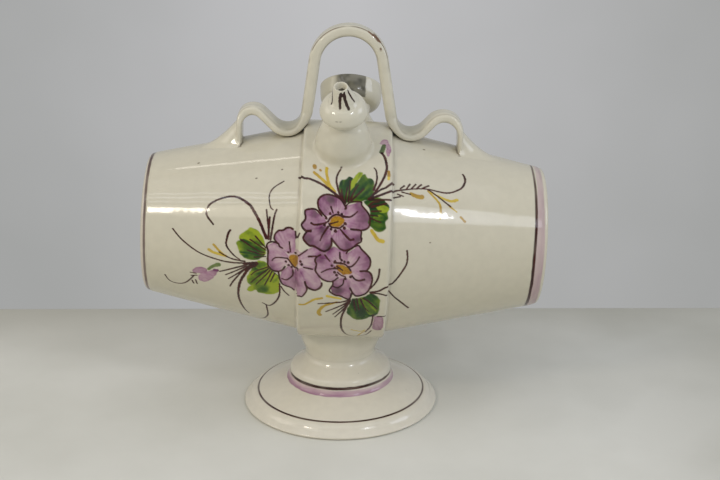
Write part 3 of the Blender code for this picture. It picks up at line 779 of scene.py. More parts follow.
# %% [markdown]
# The drinking spout in front: a dome on the band, a round bulb on the dome, and the cone
# that is drunk from, which leans a little to the left. The real ones are three thrown
# pieces, so each is a profile turned about the spout's axis, up its outside and down its
# bore. A cone and a ball would be quicker, but it is the hollow curves between them and
# the thin lip that make it look thrown.

# %% Spout shoulder
SHOULDER_RADIUS = 19.6 * MM
SHOULDER_HEIGHT = 26.4 * MM
SHOULDER_EASE = 14 * MM
SPOUT_NECK = 10.8 * MM
SPOUT_WALL = 4 * MM
SPOUT_BORE = SPOUT_NECK - SPOUT_WALL


def make_shoulder():
    rise = SHOULDER_RADIUS - SPOUT_NECK
    top = SHOULDER_HEIGHT
    outer = curve_through([
        (SHOULDER_RADIUS + 3.4 * MM, -0.5 * MM),
        (SHOULDER_RADIUS + 2.2 * MM, 0.02 * MM),
        (SHOULDER_RADIUS + 0.7 * MM, 0.9 * MM),
        (SHOULDER_RADIUS - 0.1 * MM, 3.4 * MM),
        *stretch(SPOUT_NECK, rise, 0, top, [(0.9, 0.36), (0.5, 0.72), (0.12, 0.92)]),
        (SPOUT_NECK - 0.1 * MM, top + LAP),
    ], 8)
    inner = curve_through([
        (SPOUT_BORE, top + LAP),
        (SPOUT_BORE + 0.6 * (SHOULDER_RADIUS - SPOUT_WALL - SPOUT_BORE), 0.45 * top),
        (SPOUT_PASSAGE, 1 * MM),
        (SPOUT_PASSAGE, -1 * MM),
    ], 6)
    line = np.vstack([evenly(outer, 0.5 * MM), inner])
    return skin("spout_shoulder", standing(spout_frame, line, round_angles, SHOULDER_EASE), spout_frame)


spout_shoulder = make_shoulder()

# %% Spout bulb
BULB_RADIUS = 16.4 * MM
BULB_HEIGHT = 17.6 * MM
BULB_TOP = 9.8 * MM
BULB_BORE = BULB_TOP - SPOUT_WALL


def make_bulb():
    low, top = SHOULDER_HEIGHT, SHOULDER_HEIGHT + BULB_HEIGHT
    swell = BULB_RADIUS - SPOUT_NECK
    fall = BULB_RADIUS - BULB_TOP
    outer = curve_through([
        (SPOUT_NECK, low),
        *stretch(SPOUT_NECK, swell, low, BULB_HEIGHT, [(0.3, 0.12), (0.76, 0.25)]),
        (BULB_RADIUS, low + 0.42 * BULB_HEIGHT),
        *stretch(BULB_TOP, fall, low, BULB_HEIGHT, [(0.9, 0.62), (0.68, 0.8), (0.34, 0.93)]),
        (BULB_TOP - 0.4 * MM, top),
        (BULB_TOP - 1.4 * MM, top + 0.2 * MM),
    ], 10)
    inner = curve_through([
        (BULB_BORE, top + LAP),
        (BULB_RADIUS - SPOUT_WALL, low + 0.46 * BULB_HEIGHT),
        (SPOUT_BORE, low + 0.16 * BULB_HEIGHT),
        (SPOUT_BORE, low),
    ], 6)
    line = np.vstack([evenly(outer, 0.45 * MM), inner])
    return skin("spout_bulb", turned(line, round_angles, 0.8, 1.1), spout_frame)


spout_bulb = make_bulb()

# %% Spout nozzle
NOZZLE_LENGTH = 12.6 * MM
NOZZLE_LIP = 4.9 * MM
NOZZLE_LEAN = 2.0 * MM
NOZZLE_BORE = 2.7 * MM


def make_nozzle():
    low = SHOULDER_HEIGHT + BULB_HEIGHT
    top = low + NOZZLE_LENGTH
    spread = BULB_TOP - NOZZLE_LIP
    outer = curve_through([
        (BULB_TOP + 0.5 * MM, low - 0.4 * MM),
        *stretch(NOZZLE_LIP, spread, low, NOZZLE_LENGTH, [
            (0.82, 0.09), (0.68, 0.2), (0.5, 0.4), (0.16, 0.8),
        ]),
        (NOZZLE_LIP, top - 0.5 * MM),
        (NOZZLE_LIP - 0.2 * MM, top - 0.1 * MM),
        (NOZZLE_LIP - 0.55 * MM, top),
        (NOZZLE_LIP - 0.95 * MM, top - 0.25 * MM),
    ], 10)
    inner = curve_through([
        (NOZZLE_LIP - 1.2 * MM, top - 0.8 * MM),
        (NOZZLE_BORE, top - 3.4 * MM),
        (NOZZLE_BORE, low + 0.6 * NOZZLE_LENGTH),
        (BULB_BORE, low - LAP),
    ], 8)
    rings = turned(np.vstack([evenly(outer, 0.24 * MM), inner]), round_angles)
    rings[..., 0] -= NOZZLE_LEAN * eased(rings[..., 2], low, top)
    return skin("spout_nozzle", rings, spout_frame)


spout_nozzle = make_nozzle()

# %% [markdown]
# The filling mouth at the back: a neck that flares on to the band, and a round cup with a
# thick lip. Water is poured into the cup and runs down the bore, so the cup needs its
# inside as well. The potter pinched it into round, so its rim dips and rises a little; a
# lattice could bend it, but one line that sways the heights is easier to read.

# %% Mouth neck
MOUTH_BASE = 23 * MM
MOUTH_NECK_HEIGHT = 17.4 * MM
MOUTH_NECK = 14.3 * MM
MOUTH_FLARE = MOUTH_BASE - MOUTH_NECK
MOUTH_EASE = 12 * MM


def make_mouth_neck():
    top = MOUTH_NECK_HEIGHT
    outer = curve_through([
        (MOUTH_BASE + 2.6 * MM, -0.5 * MM),
        (MOUTH_BASE + 1.4 * MM, 0.02 * MM),
        *stretch(MOUTH_NECK, MOUTH_FLARE, 0, top, [
            (0.84, 0.12), (0.42, 0.32), (0.06, 0.62), (0, 0.82),
        ]),
        (MOUTH_NECK + 0.1 * MOUTH_FLARE, top + LAP),
    ], 8)
    inner = np.array([(MOUTH_BORE, top + LAP), (MOUTH_BORE, 6 * MM), (MOUTH_BORE, -1 * MM)])
    line = np.vstack([evenly(outer, 0.5 * MM), inner])
    return skin("mouth_neck", standing(mouth_frame, line, round_angles, MOUTH_EASE), mouth_frame)


mouth_neck = make_mouth_neck()

# %% Mouth funnel
FUNNEL_HEIGHT = 18 * MM
FUNNEL_RIM = 23.5 * MM
MOUTH_WALL = 4 * MM
RIM_DROP = 0.55 * MM


def make_funnel():
    low, rim = MOUTH_NECK_HEIGHT, MOUTH_NECK_HEIGHT + FUNNEL_HEIGHT
    start = MOUTH_NECK + 0.1 * MOUTH_FLARE
    swell = FUNNEL_RIM - start
    cup = FUNNEL_RIM - MOUTH_WALL
    floor = low + 0.22 * FUNNEL_HEIGHT
    lip = arc((FUNNEL_RIM - MOUTH_WALL / 2, rim - MOUTH_WALL / 2), MOUTH_WALL / 2, 0, 180, 16)
    outer = curve_through([
        (start, low - 0.1 * MM),
        *stretch(start, swell, low, FUNNEL_HEIGHT, [(0.56, 0.07), (0.86, 0.28), (0.96, 0.6)]),
        (FUNNEL_RIM, rim - MOUTH_WALL / 2),
    ], 10)
    inner = curve_through([
        (cup, rim - MOUTH_WALL / 2),
        (cup - 0.4 * MM, floor + 0.36 * FUNNEL_HEIGHT),
        (MOUTH_BORE + 0.68 * (cup - MOUTH_BORE), floor + 0.12 * FUNNEL_HEIGHT),
        (MOUTH_BORE + 1.4 * MM, floor),
        (MOUTH_BORE, floor - 1.4 * MM),
        (MOUTH_BORE, low - LAP),
    ], 8)
    line = evenly(np.vstack([outer, lip[1:-1], inner]), 0.5 * MM)
    rings = turned(line, round_angles, 0.9, 2.3)
    sway = 0.35 * MM * np.sin(2 * round_angles + 0.6) + 0.2 * MM * np.sin(3 * round_angles)
    rise = np.clip((line[:, 1] - low) / FUNNEL_HEIGHT, 0, 1)[:, None]
    rings[..., 2] += rise**2 * (sway - RIM_DROP)
    return skin("mouth_funnel", rings, mouth_frame)


mouth_funnel = make_funnel()

# %% [markdown]
# The foot is turned about the upright axis: a waist, a bell, a crease under it, a wide
# sloping skirt and a full, rolled rim that stands on a flat ring, hollow inside. The collar
# above it is a short stem that widens up into the band. Its upper rows have to follow the
# band's round and its lower ones the foot, so it is no plain turned piece: each row's
# height is blended between the two.

# %% Foot
FOOT_WALL = 6 * MM
RIM_HEIGHT = 6.5 * MM
RING_WIDTH = 9 * MM
WAIST = 26 * MM
FOOT_BORE = WAIST - FOOT_WALL
BELL = 38.2 * MM
BELL_BASE = 25.3 * MM
FOOT_POINTS = 420
FOOT_WOBBLE = 0.5
FOOT_SEED = 0.2


def make_pedestal():
    angles = np.linspace(0, math.tau, FOOT_POINTS, endpoint=False)
    rise = FOOT_HEIGHT - BELL_BASE
    slope = BELL_BASE - RIM_HEIGHT
    spread = FOOT_RADIUS - BELL
    swell = BELL - WAIST
    bell = curve_through([
        (WAIST, FOOT_HEIGHT + LAP),
        *stretch(WAIST, swell, FOOT_HEIGHT, -rise, [
            (0, 0.1), (0.04, 0.2), (0.18, 0.34), (0.5, 0.52), (0.85, 0.7), (0.97, 0.86),
        ]),
        *stretch(BELL, spread, BELL_BASE, -slope, [
            (0, 0.08), (0.02, 0.2), (0.06, 0.32), (0.14, 0.39), (0.34, 0.53), (0.66, 0.79),
        ]),
        *stretch(BELL, spread, RIM_HEIGHT, slope, [(0.77, 0.15), (0.84, 0.06)]),
        *stretch(BELL, spread, 0, RIM_HEIGHT, [(0.89, 0.84), (0.94, 0.6)]),
        (FOOT_RADIUS, 0.32 * RIM_HEIGHT),
        (FOOT_RADIUS - 0.5 * MM, 0.7 * MM),
        (FOOT_RADIUS - 1.8 * MM, 0),
    ], 8)
    hollow = curve_through([
        (FOOT_RADIUS - RING_WIDTH, 0),
        (FOOT_RADIUS - 1.3 * RING_WIDTH, 0.3 * RIM_HEIGHT),
        (BELL + 0.3 * spread, BELL_BASE - 0.52 * slope - FOOT_WALL),
        (BELL - FOOT_WALL, BELL_BASE - 0.6 * FOOT_WALL),
        (FOOT_BORE, FOOT_HEIGHT - FOOT_WALL),
        (FOOT_BORE, FOOT_HEIGHT + LAP),
    ], 6)
    line = np.vstack([evenly(bell, 0.4 * MM), evenly(hollow, 2 * MM)])
    return skin("foot_pedestal", turned(line, angles, FOOT_WOBBLE, FOOT_SEED), foot_frame)


foot_pedestal = make_pedestal()

# %% Collar
COLLAR_TOP = 31 * MM
COLLAR_POINTS = 360
COLLAR_SINK = 0.4 * MM


def make_collar():
    angles = np.linspace(0, math.tau, COLLAR_POINTS, endpoint=False)
    flare = COLLAR_TOP - WAIST
    height = BARREL_CENTRE.z - BAND_RADIUS - FOOT_HEIGHT
    outer = evenly(curve_through([
        *stretch(WAIST, flare, 0, height, [(0, 0), (0.14, 0.22), (0.62, 0.58)]),
        (COLLAR_TOP - 0.6 * MM, 0.9 * height),
        (COLLAR_TOP, height),
    ], 10), 0.5 * MM)
    radii = outer[:, 0][:, None]
    ground = band_height(foot_frame, radii * np.cos(angles), radii * np.sin(angles), upper=False)
    share = (outer[:, 1] / height)[:, None]
    foot_top = FOOT_HEIGHT - LAP
    up = foot_top + share * (ground + COLLAR_SINK - foot_top) * share
    up = up + share * (1 - share) * (height + LAP)
    up = np.minimum(up, ground + COLLAR_SINK)
    # The lower rows follow the foot's own unevenness, a hair inside it.
    settle = 1 - eased(share, 0, 0.5)
    radii = radii + settle * (FOOT_WOBBLE * thrown(up, angles, FOOT_SEED) - 0.02 * MM)
    radii = np.vstack([radii, np.full((2, len(angles)), FOOT_BORE)])
    up = np.vstack([up, ground[-1] - 1 * MM, np.full(len(angles), foot_top)])
    rings = np.stack([radii * np.cos(angles), radii * np.sin(angles), up], -1)
    return skin("foot_collar", rings, foot_frame)


foot_collar = make_collar()

# %% [markdown]
# The strap is one long strip of clay, bent like a belt over pegs: a tail on the left
# shell, a hump, a valley pressed on to the wall, the tall arch, and the same again on the
# right. The pegs give its middle line, and its width and thickness change from stretch to
# stretch. Its section is a flat pad with soft edges. Where each end lands, the potter
# smeared its clay along the barrel with a thumb, in a tail that runs out to nothing. A
# curve with a bevel would be quicker, but its width and thickness can't change apart, nor
# can it hug the wall in the valleys.

# %% Strap measures
HUMP_THICKNESS = 7.4 * MM
ARCH_THICKNESS = 8.6 * MM
VALLEY_THICKNESS = 5.6 * MM
VALLEY_RISE = 5.4 * MM
LANDING_THICKNESS = 4.4 * MM
ARCH_BEND = 24.2 * MM
ARCH_CLEAR = 63.5 * MM
ARCH_OFF_CENTRE = -1.6 * MM
VALLEY_X = HALF_BAND + 9.2 * MM
HUMP_X = VALLEY_X + 27.2 * MM
HUMP_RISE = 21.2 * MM
LEFT_LANDING = HUMP_X + 9.4 * MM
RIGHT_LANDING = HUMP_X + 12.6 * MM
ARC_STEP = math.radians(5)
STRAP_POINTS = 64
STRAP_STEP = 0.8 * MM
PAD_SQUARENESS = 0.6
THUMB_CHANNEL = 0.35 * MM
TAIL_HALF_WIDTH = 14 * MM
STRAP_SECTIONS = {
    # name: (width, thickness, share of the barrel's bend)
    "landing": (25 * MM, LANDING_THICKNESS, 1),
    "hump": (19 * MM, HUMP_THICKNESS, 0),
    "valley": (30 * MM, VALLEY_THICKNESS, 1),
    "arch": (16.5 * MM, ARCH_THICKNESS, 0),
}
print("arch, hump and valley thickness (mm):", [
    round(STRAP_SECTIONS[name][1] / MM, 1) for name in ("arch", "hump", "valley")
])

# %% The strap's middle line


def valley_peg(x, bend):
    """A peg is its centre, its radius, and 1 or -1 for the side on which the strap passes."""
    out = np.array([math.copysign(math.sin(TAPER_ANGLE), x), math.cos(TAPER_ANGLE)])
    return np.array([x, shell_radius(x)]) + out * (VALLEY_RISE - VALLEY_THICKNESS / 2 + bend), bend, 1


def hump_peg(x, bend):
    """The peg of a hump, so that its crest stands the hump's rise above the shell."""
    return np.array([x, shell_radius(x) + HUMP_RISE - bend]), bend, -1


def landing(x):
    """A peg of no size, where the strap's end goes into the shell."""
    return np.array([x, shell_radius(x) - 1 * MM]), 0.0, 1


def strap_line():
    """The strap's middle line, as (x, z) points, and where each section is known."""
    arch_height = BAND_RADIUS + ARCH_CLEAR + ARCH_THICKNESS / 2 - ARCH_BEND
    pegs = [
        ("landing", landing(-LEFT_LANDING)),
        ("hump", hump_peg(-HUMP_X, 9.5 * MM)),
        ("valley", valley_peg(-VALLEY_X, 14.5 * MM)),
        ("arch", (np.array([ARCH_OFF_CENTRE, arch_height]), ARCH_BEND, -1)),
        ("valley", valley_peg(VALLEY_X, 14.5 * MM)),
        ("hump", hump_peg(HUMP_X, 12 * MM)),
        ("landing", landing(RIGHT_LANDING)),
    ]
    headings = []
    for (_, (here, bend, side)), (_, (there, next_bend, next_side)) in zip(pegs, pegs[1:]):
        way = there - here
        lean = (next_side * next_bend - side * bend) / np.hypot(*way)
        headings.append(math.atan2(way[1], way[0]) - math.asin(max(-1, min(1, lean))))

    def touch(peg, heading):
        return peg[0] - np.array([-math.sin(heading), math.cos(heading)]) * peg[1] * peg[2]

    line = [pegs[0][1][0]]
    known = [(0, "landing")]
    for (name, peg), arriving, leaving in zip(pegs[1:-1], headings, headings[1:]):
        line.append((line[-1] + touch(peg, arriving)) / 2)
        count = 2 * max(1, math.ceil(abs(leaving - arriving) / ARC_STEP / 2))
        for step in range(count + 1):
            if step == count // 2 or (name == "arch" and step in (0, count)):
                known.append((len(line), name))
            line.append(touch(peg, arriving + (leaving - arriving) * step / count))
    line += [(line[-1] + pegs[-1][1][0]) / 2, pegs[-1][1][0]]
    known.append((len(line) - 1, "landing"))
    return np.array(line), known


strap_path, strap_marks = strap_line()
print("places on the strap's line:", len(strap_path))

# %% Strap handle


def bend_round_shell(x, y):
    """How far the shell falls away from its top line."""
    reach = shell_radius(x)
    return reach - np.sqrt(reach**2 - y**2)


def make_strap(line, known):
    """The strap's skin: a soft flat section that follows the line and its known widths."""
    places = np.array([i for i, _ in known])
    values = np.array([STRAP_SECTIONS[name] for _, name in known])
    steps = np.arange(len(line))
    section = np.searchsorted(places, steps, "right").clip(1, len(places) - 1)
    share = (steps - places[section - 1]) / (places[section] - places[section - 1])
    share = eased(share, 0, 1)[:, None]
    values = values[section - 1] * (1 - share) + values[section] * share
    lengths = np.concatenate([[0], np.cumsum(np.hypot(*np.diff(line, axis=0).T))])
    along = np.linspace(0, lengths[-1], math.ceil(lengths[-1] / STRAP_STEP))
    path = np.stack([np.interp(along, lengths, column) for column in line.T], -1)
    slope = np.gradient(path, along, axis=0)
    heading = np.arctan2(slope[:, 1], slope[:, 0])
    heading = np.convolve(np.pad(heading, 2, "edge"), np.ones(5) / 5, "valid")
    width, thickness, hug = (np.interp(along, lengths, column) for column in values.T)
    turn = np.linspace(0, math.tau, STRAP_POINTS, endpoint=False)
    wave_x, wave_z = np.cos(turn), np.sin(turn)
    across = np.sign(wave_x) * np.abs(wave_x) ** PAD_SQUARENESS
    lift = np.sign(wave_z) * np.abs(wave_z) ** PAD_SQUARENESS
    # A thumb drawn along the strap leaves a shallow channel in its upper face.
    channel = THUMB_CHANNEL * np.exp(-((across / 0.45) ** 2)) * (lift > 0)
    sway = 0.25 * MM * np.sin(math.tau * along / (47 * MM))
    sway += 0.12 * MM * np.sin(math.tau * along / (19 * MM))
    half = width[:, None] / 2 - 0.3 * MM + 0.5 * sway[:, None]
    out = across * half
    up = lift * thickness[:, None] / 2 - channel * (1 - hug[:, None])
    up = up - 0.02 * MM
    x = path[:, 0][:, None] - np.sin(heading)[:, None] * up
    z = path[:, 1][:, None] + np.cos(heading)[:, None] * up
    z = z - hug[:, None] * bend_round_shell(x, out)
    y = out + sway[:, None] * (1 - hug[:, None])
    return skin("strap_handle", np.stack([x, y, z], -1), barrel_frame, loop=False)


def make_tail(side, start, reach, height, fall):
    """The smeared end: high at the strap, and gone at its tip."""
    share = np.linspace(0, 1, 60)[:, None]
    across = np.sin(np.linspace(-math.pi / 2, math.pi / 2, 60))[None, :]
    half = TAIL_HALF_WIDTH * (1 - share**2.5) ** 0.5 * (0.75 + 0.25 * (1 - share))
    half = half + 0.8 * MM * np.sin(9 * share + side) * share * (1 - share) + 0.3 * MM
    roundness = 3.4 - 1.2 * share
    bump = height * (1 - share) ** fall * (1 - np.abs(across) ** roundness) ** 1.7
    x = side * (start + share * reach) + 0 * across
    y = half * across
    surface = shell_radius(x) - bend_round_shell(x, y)
    top = np.stack([x, y, surface + bump - 0.25 * MM * (np.abs(across) > 0.99)], -1)
    under = np.stack([x, y, surface - 1.2 * MM], -1)[:, ::-1]
    return skin("tail", np.concatenate([top, under], 1), barrel_frame, loop=False)


def joined(piece, *others):
    """All the skins as one mesh."""
    mesh = bmesh.new()
    for part in (piece, *others):
        mesh.from_mesh(part.data)
    mesh.to_mesh(piece.data)
    mesh.free()
    for part in others:
        bpy.data.objects.remove(part)
    return piece


strap = make_strap(strap_path, strap_marks)
STRAP_RINGS = len(strap.data.vertices) // STRAP_POINTS
strap_handle = joined(
    strap,
    make_tail(-1, LEFT_LANDING - 1 * MM, 29 * MM, 18.5 * MM, 1.75),
    make_tail(1, RIGHT_LANDING - 1 * MM, 31 * MM, 16 * MM, 2.0),
)
print("rings along the strap:", STRAP_RINGS)

# %% [markdown]
# The brushwork, a spray of flowers in the folk manner: manganese violet for the petals,
# copper green for the leaves, antimony yellow and ochre, and a dark brown made of
# manganese and iron for every line. The strokes were traced from the photograph point by
# point. Each point is in millimetres on the unrolled barrel: first how far right of the
# middle, then how far above the barrel's front line, at a radius of 75 mm. The brush runs
# in a smooth curve through its points. A made-up spray would be shorter to write, but it
# is the painter's own hand that one knows such a jug by.

# %% Flowers
PAINT_RADIUS = 75

PETALS = {
    # name: (how dark, outline)
    "a_top": (1, [(-13, 32.5), (-17, 35.5), (-18.5, 43.5), (-11, 46.5), (-4, 44), (0, 38), (-3.5, 32.5),
        (-8, 33)]),
    "a_right": (0.85, [(0.5, 40), (10, 42.5), (11, 40), (16, 33.5), (16, 27), (14, 24.5), (4, 24.5),
        (-1.5, 29.5)]),
    "a_low_right": (0.9, [(-3.5, 24.5), (11, 23.5), (11, 20.5), (12, 18), (2.5, 11), (-1.5, 11),
        (-9, 18.5)]),
    "a_low_left": (1, [(-23, 22.5), (-26.5, 22), (-28, 18.5), (-24, 13), (-20.5, 12.5), (-13.5, 9.5),
        (-8.5, 14), (-9.5, 23), (-13.5, 26)]),
    "a_left": (1, [(-14, 31.5), (-24, 37), (-28, 34), (-27, 30), (-29.5, 26), (-28.5, 24), (-23, 22.5),
        (-13, 26.5)]),
    "b_left": (0.7, [(-13, 6.5), (-18.5, 5.5), (-18.5, -3.5), (-14, -10), (-7.5, -11), (-4, -9),
        (-3.5, -3)]),
    "b_top": (0.55, [(-13, 6.5), (-7.5, 13), (-2, 10.5), (2.5, 10), (2, 7), (2.5, 1.5), (-7.5, 2)]),
    "b_right_top": (0.6, [(2, 8.5), (10, 14), (12, 11.5), (18.5, 5), (16, -3), (4.5, -3), (2.5, 0)]),
    "b_right_low": (0.55, [(5, -3.5), (17.5, -3.5), (20, -7.5), (17, -18.5), (8.5, -21.5), (4, -10.5)]),
    "b_low_left": (1, [(-7, -11), (-7, -20.5), (4, -24.5), (6, -22.5), (4, -10.5), (0, -8.5)]),
    "between": (0.2, [(-21, 12), (-16.5, 10.5), (-11.5, 11), (-7.5, 12), (-2, 11), (-0.5, 9), (-6, 6),
        (-11.5, 4), (-18.5, 6)]),
    "c_top": (0.7, [(-33.5, 22), (-40, 23.5), (-46, 20.5), (-47.5, 16), (-43, 9), (-37, 5.5),
        (-33.5, 8.5)]),
    "c_left": (0.55, [(-47.5, 13), (-52.5, 9.5), (-52, 5), (-52, -2.5), (-47.5, -9.5), (-43.5, -8.5),
        (-38, 1), (-39, 5)]),
    "c_low_left": (0.8, [(-42.5, -8.5), (-43, -17), (-37, -20.5), (-32.5, -22.5), (-33, -10), (-36, -3.5)]),
    "c_low": (0.5, [(-32.5, -16.5), (-32, -23), (-27.5, -24), (-25, -19.5), (-25, -15.5), (-28, -4.5),
        (-31.5, -3.5), (-33.5, -7.5)]),
    "c_right_low": (0.6, [(-26, -11.5), (-25, -15.5), (-18, -18), (-14.5, -13), (-18, -5), (-21.5, -3),
        (-30, -3)]),
    "c_right_top": (0.55, [(-31, 5.5), (-28, 8.5), (-20.5, 12), (-15, 9), (-18.5, 6), (-19, 2),
        (-18.5, -3), (-29.5, -1)]),
}
FLOWER_EYES = [
    # The outline of each ochre eye.
    [(-10, 30.5), (-8, 32.5), (-4.5, 32.5), (-1.5, 31.5), (-0.5, 29.5), (-4.5, 25.5), (-10.5, 26.5)],
    [(-5, 1), (-2, 1), (1.5, 0), (5, -2.5), (5.5, -5), (0, -6), (-5, -2)],
    [(-38, 2.5), (-36.5, 5), (-32, 5), (-31, 3), (-33, -4.5)],
]
PETAL_LINES = [
    # (width at the start, width at the end, points)
    (0.95, 0.95, [(-13, 31.5), (-17.5, 36), (-19, 40), (-18.5, 43.5), (-15.5, 46), (-11, 46.5), (-4, 44),
        (0, 38.5), (-0.5, 37.5)]),
    (0.7, 0.95, [(0, 37.5), (0.5, 40), (3.5, 42), (10, 42.5), (11, 40), (16, 34), (16.5, 27.5),
        (14.5, 25), (11, 24), (4, 24.5)]),
    (1, 0.7, [(-1.5, 32.5), (3.5, 32.5), (8, 36)]),
    (0.8, 0.95, [(7.5, 24.5), (11, 23.5), (11, 19.5), (11.5, 18.5), (11, 16.5), (8.5, 15), (4, 11.5),
        (-2, 11), (-9, 18)]),
    (0.8, 1.2, [(-3, 24), (3, 18), (6, 18)]),
    (1, 0.95, [(-23, 22), (-25.5, 22), (-28, 17.5), (-24, 13), (-20.5, 12.5), (-13.5, 9.5), (-9, 13),
        (-9, 18)]),
    (1.1, 0.7, [(-11.5, 25.5), (-15, 20), (-16.5, 16.5)]),
    (0.85, 1.1, [(-16, 32.5), (-20.5, 36.5), (-26.5, 36), (-27.5, 34), (-27, 30), (-29.5, 26),
        (-26.5, 22.5), (-23, 22.5)]),
    (0.95, 0.85, [(-23, 27.5), (-20.5, 26.5), (-14.5, 27.5), (-11.5, 29)]),
    (0.95, 0.85, [(-11.5, 29), (-10.5, 31), (-8, 33), (-5, 33.5), (-1.5, 32)]),
    (0.85, 0.85, [(-11, 27.5), (-9.5, 25.5), (-6, 25), (-3.5, 25), (-1, 27)]),
    (0.7, 0.6, [(-10, 27.5), (-5, 29)]),
    (0.8, 0.7, [(-13, 7), (-9.5, 3)]),
    (0.95, 0.8, [(-16, 7), (-18.5, 5.5), (-19.5, 3), (-18.5, 0.5), (-19, -2.5), (-18.5, -5), (-14, -10),
        (-8, -11.5), (-3.5, -8.5)]),
    (0.65, 0.85, [(-15, -5), (-10, -2.5), (-4, -2)]),
    (0.7, 0.95, [(1.5, 8.5), (3, 10.5), (9, 14), (12, 11.5), (17.5, 6), (18, 1), (15.5, -3)]),
    (0.85, 0.8, [(3, -0.5), (5.5, 0), (8.5, 3), (10.5, 6.5)]),
    (0.95, 0.95, [(11.5, -3), (17.5, -3.5), (20, -9), (17, -18.5), (11, -22), (8, -21), (5, -16)]),
    (0.8, 1.1, [(6, -6.5), (8, -9), (11, -10), (14.5, -9)]),
    (0.8, 1, [(-7, -11), (-7, -14), (-9, -18.5), (-5, -22), (-1.5, -22.5), (4.5, -25), (6.5, -19.5)]),
    (0.8, 0.8, [(0.5, -10), (0, -13), (-2, -15), (-4, -16), (-6.5, -15)]),
    (0.85, 0.85, [(-6.5, 2), (0, 1.5), (3, -0.5), (5, -3)]),
    (0.85, 0.65, [(-4.5, -0.5), (-0.5, -3)]),
    (0.7, 0.7, [(-4, -4.5), (-1.5, -6.5), (1.5, -7.5)]),
    (0.8, 0.95, [(-3, 9), (-2.5, 5)]),
    (0.8, 0.85, [(-33, 17), (-33.5, 21.5)]),
    (1.1, 0.8, [(-35.5, 23), (-37.5, 24), (-40, 23.5), (-42, 22), (-45, 21.5), (-47, 19.5), (-48, 16.5),
        (-47.5, 14.5), (-45, 12), (-44, 10), (-42, 9)]),
    (0.8, 0.65, [(-32, 17.5), (-30.5, 20.5)]),
    (1, 0.95, [(-45, 12), (-47.5, 13), (-50, 13), (-52, 12), (-53, 9.5), (-52, 6), (-52, -3.5),
        (-50.5, -7), (-48, -9), (-44.5, -9), (-42, -7.5), (-40, -4.5)]),
    (0.65, 0.85, [(-49, -1), (-46.5, 1.5), (-38.5, 2)]),
    (0.85, 0.7, [(-34.5, -6.5), (-34.5, -10), (-36.5, -13), (-39, -15), (-42, -14.5)]),
    (0.95, 0.8, [(-44.5, -9), (-44, -12), (-43, -16.5), (-41, -19.5), (-35.5, -21), (-33.5, -22.5)]),
    (0.7, 0.95, [(-31.5, -25), (-29.5, -24), (-27.5, -24), (-24.5, -18.5), (-26, -12.5)]),
    (0.95, 1.1, [(-26, -12.5), (-25, -15.5), (-22.5, -17.5), (-19, -18.5), (-16, -17), (-14.5, -14.5),
        (-14.5, -13)]),
    (0.8, 0.7, [(-31, 5.5), (-25, 10)]),
    (0.8, 0.85, [(-27, -2), (-21, -3)]),
    (0.95, 0.85, [(-24, 5.5), (-19, 6)]),
    (0.8, 0.7, [(-37.5, 14), (-36.5, 7)]),
    (0.85, 0.8, [(-38, 1.5), (-33.5, -4), (-31, -3.5)]),
    (0.85, 0.65, [(-10, 38.5), (-8.5, 34.5)]),
]
STAMEN_DOTS = [
    # (size, right, up)
    (0.7, -13, 31), (0.7, -10.5, 34), (0.65, -5, 35), (0.7, -2.5, 34), (0.7, -14, 26.5), (0.65, -9.5, 24),
    (0.85, -6.5, 23), (0.8, 0, 28), (0.8, -0.5, 25), (0.7, -6, 3), (0.7, -2, 2), (0.65, 0.5, 3),
    (0.8, 3, 2.5), (0.7, -6, -4.5), (0.7, -4.5, -6.5), (0.7, 1.5, -9), (0.7, 5, -7.5), (0.65, -8, 0),
    (0.65, -6, -1.5), (0.6, -38, 6.5), (0.6, -39.5, -0.5), (0.65, -37.5, -3), (0.6, -35.5, -4),
    (0.65, -29.5, 2), (0.7, -28.5, 0), (0.65, -31.5, -4.5), (0.6, -33, 6.5), (0.65, -1.5, 4),
]
print("petals:", list(PETALS))

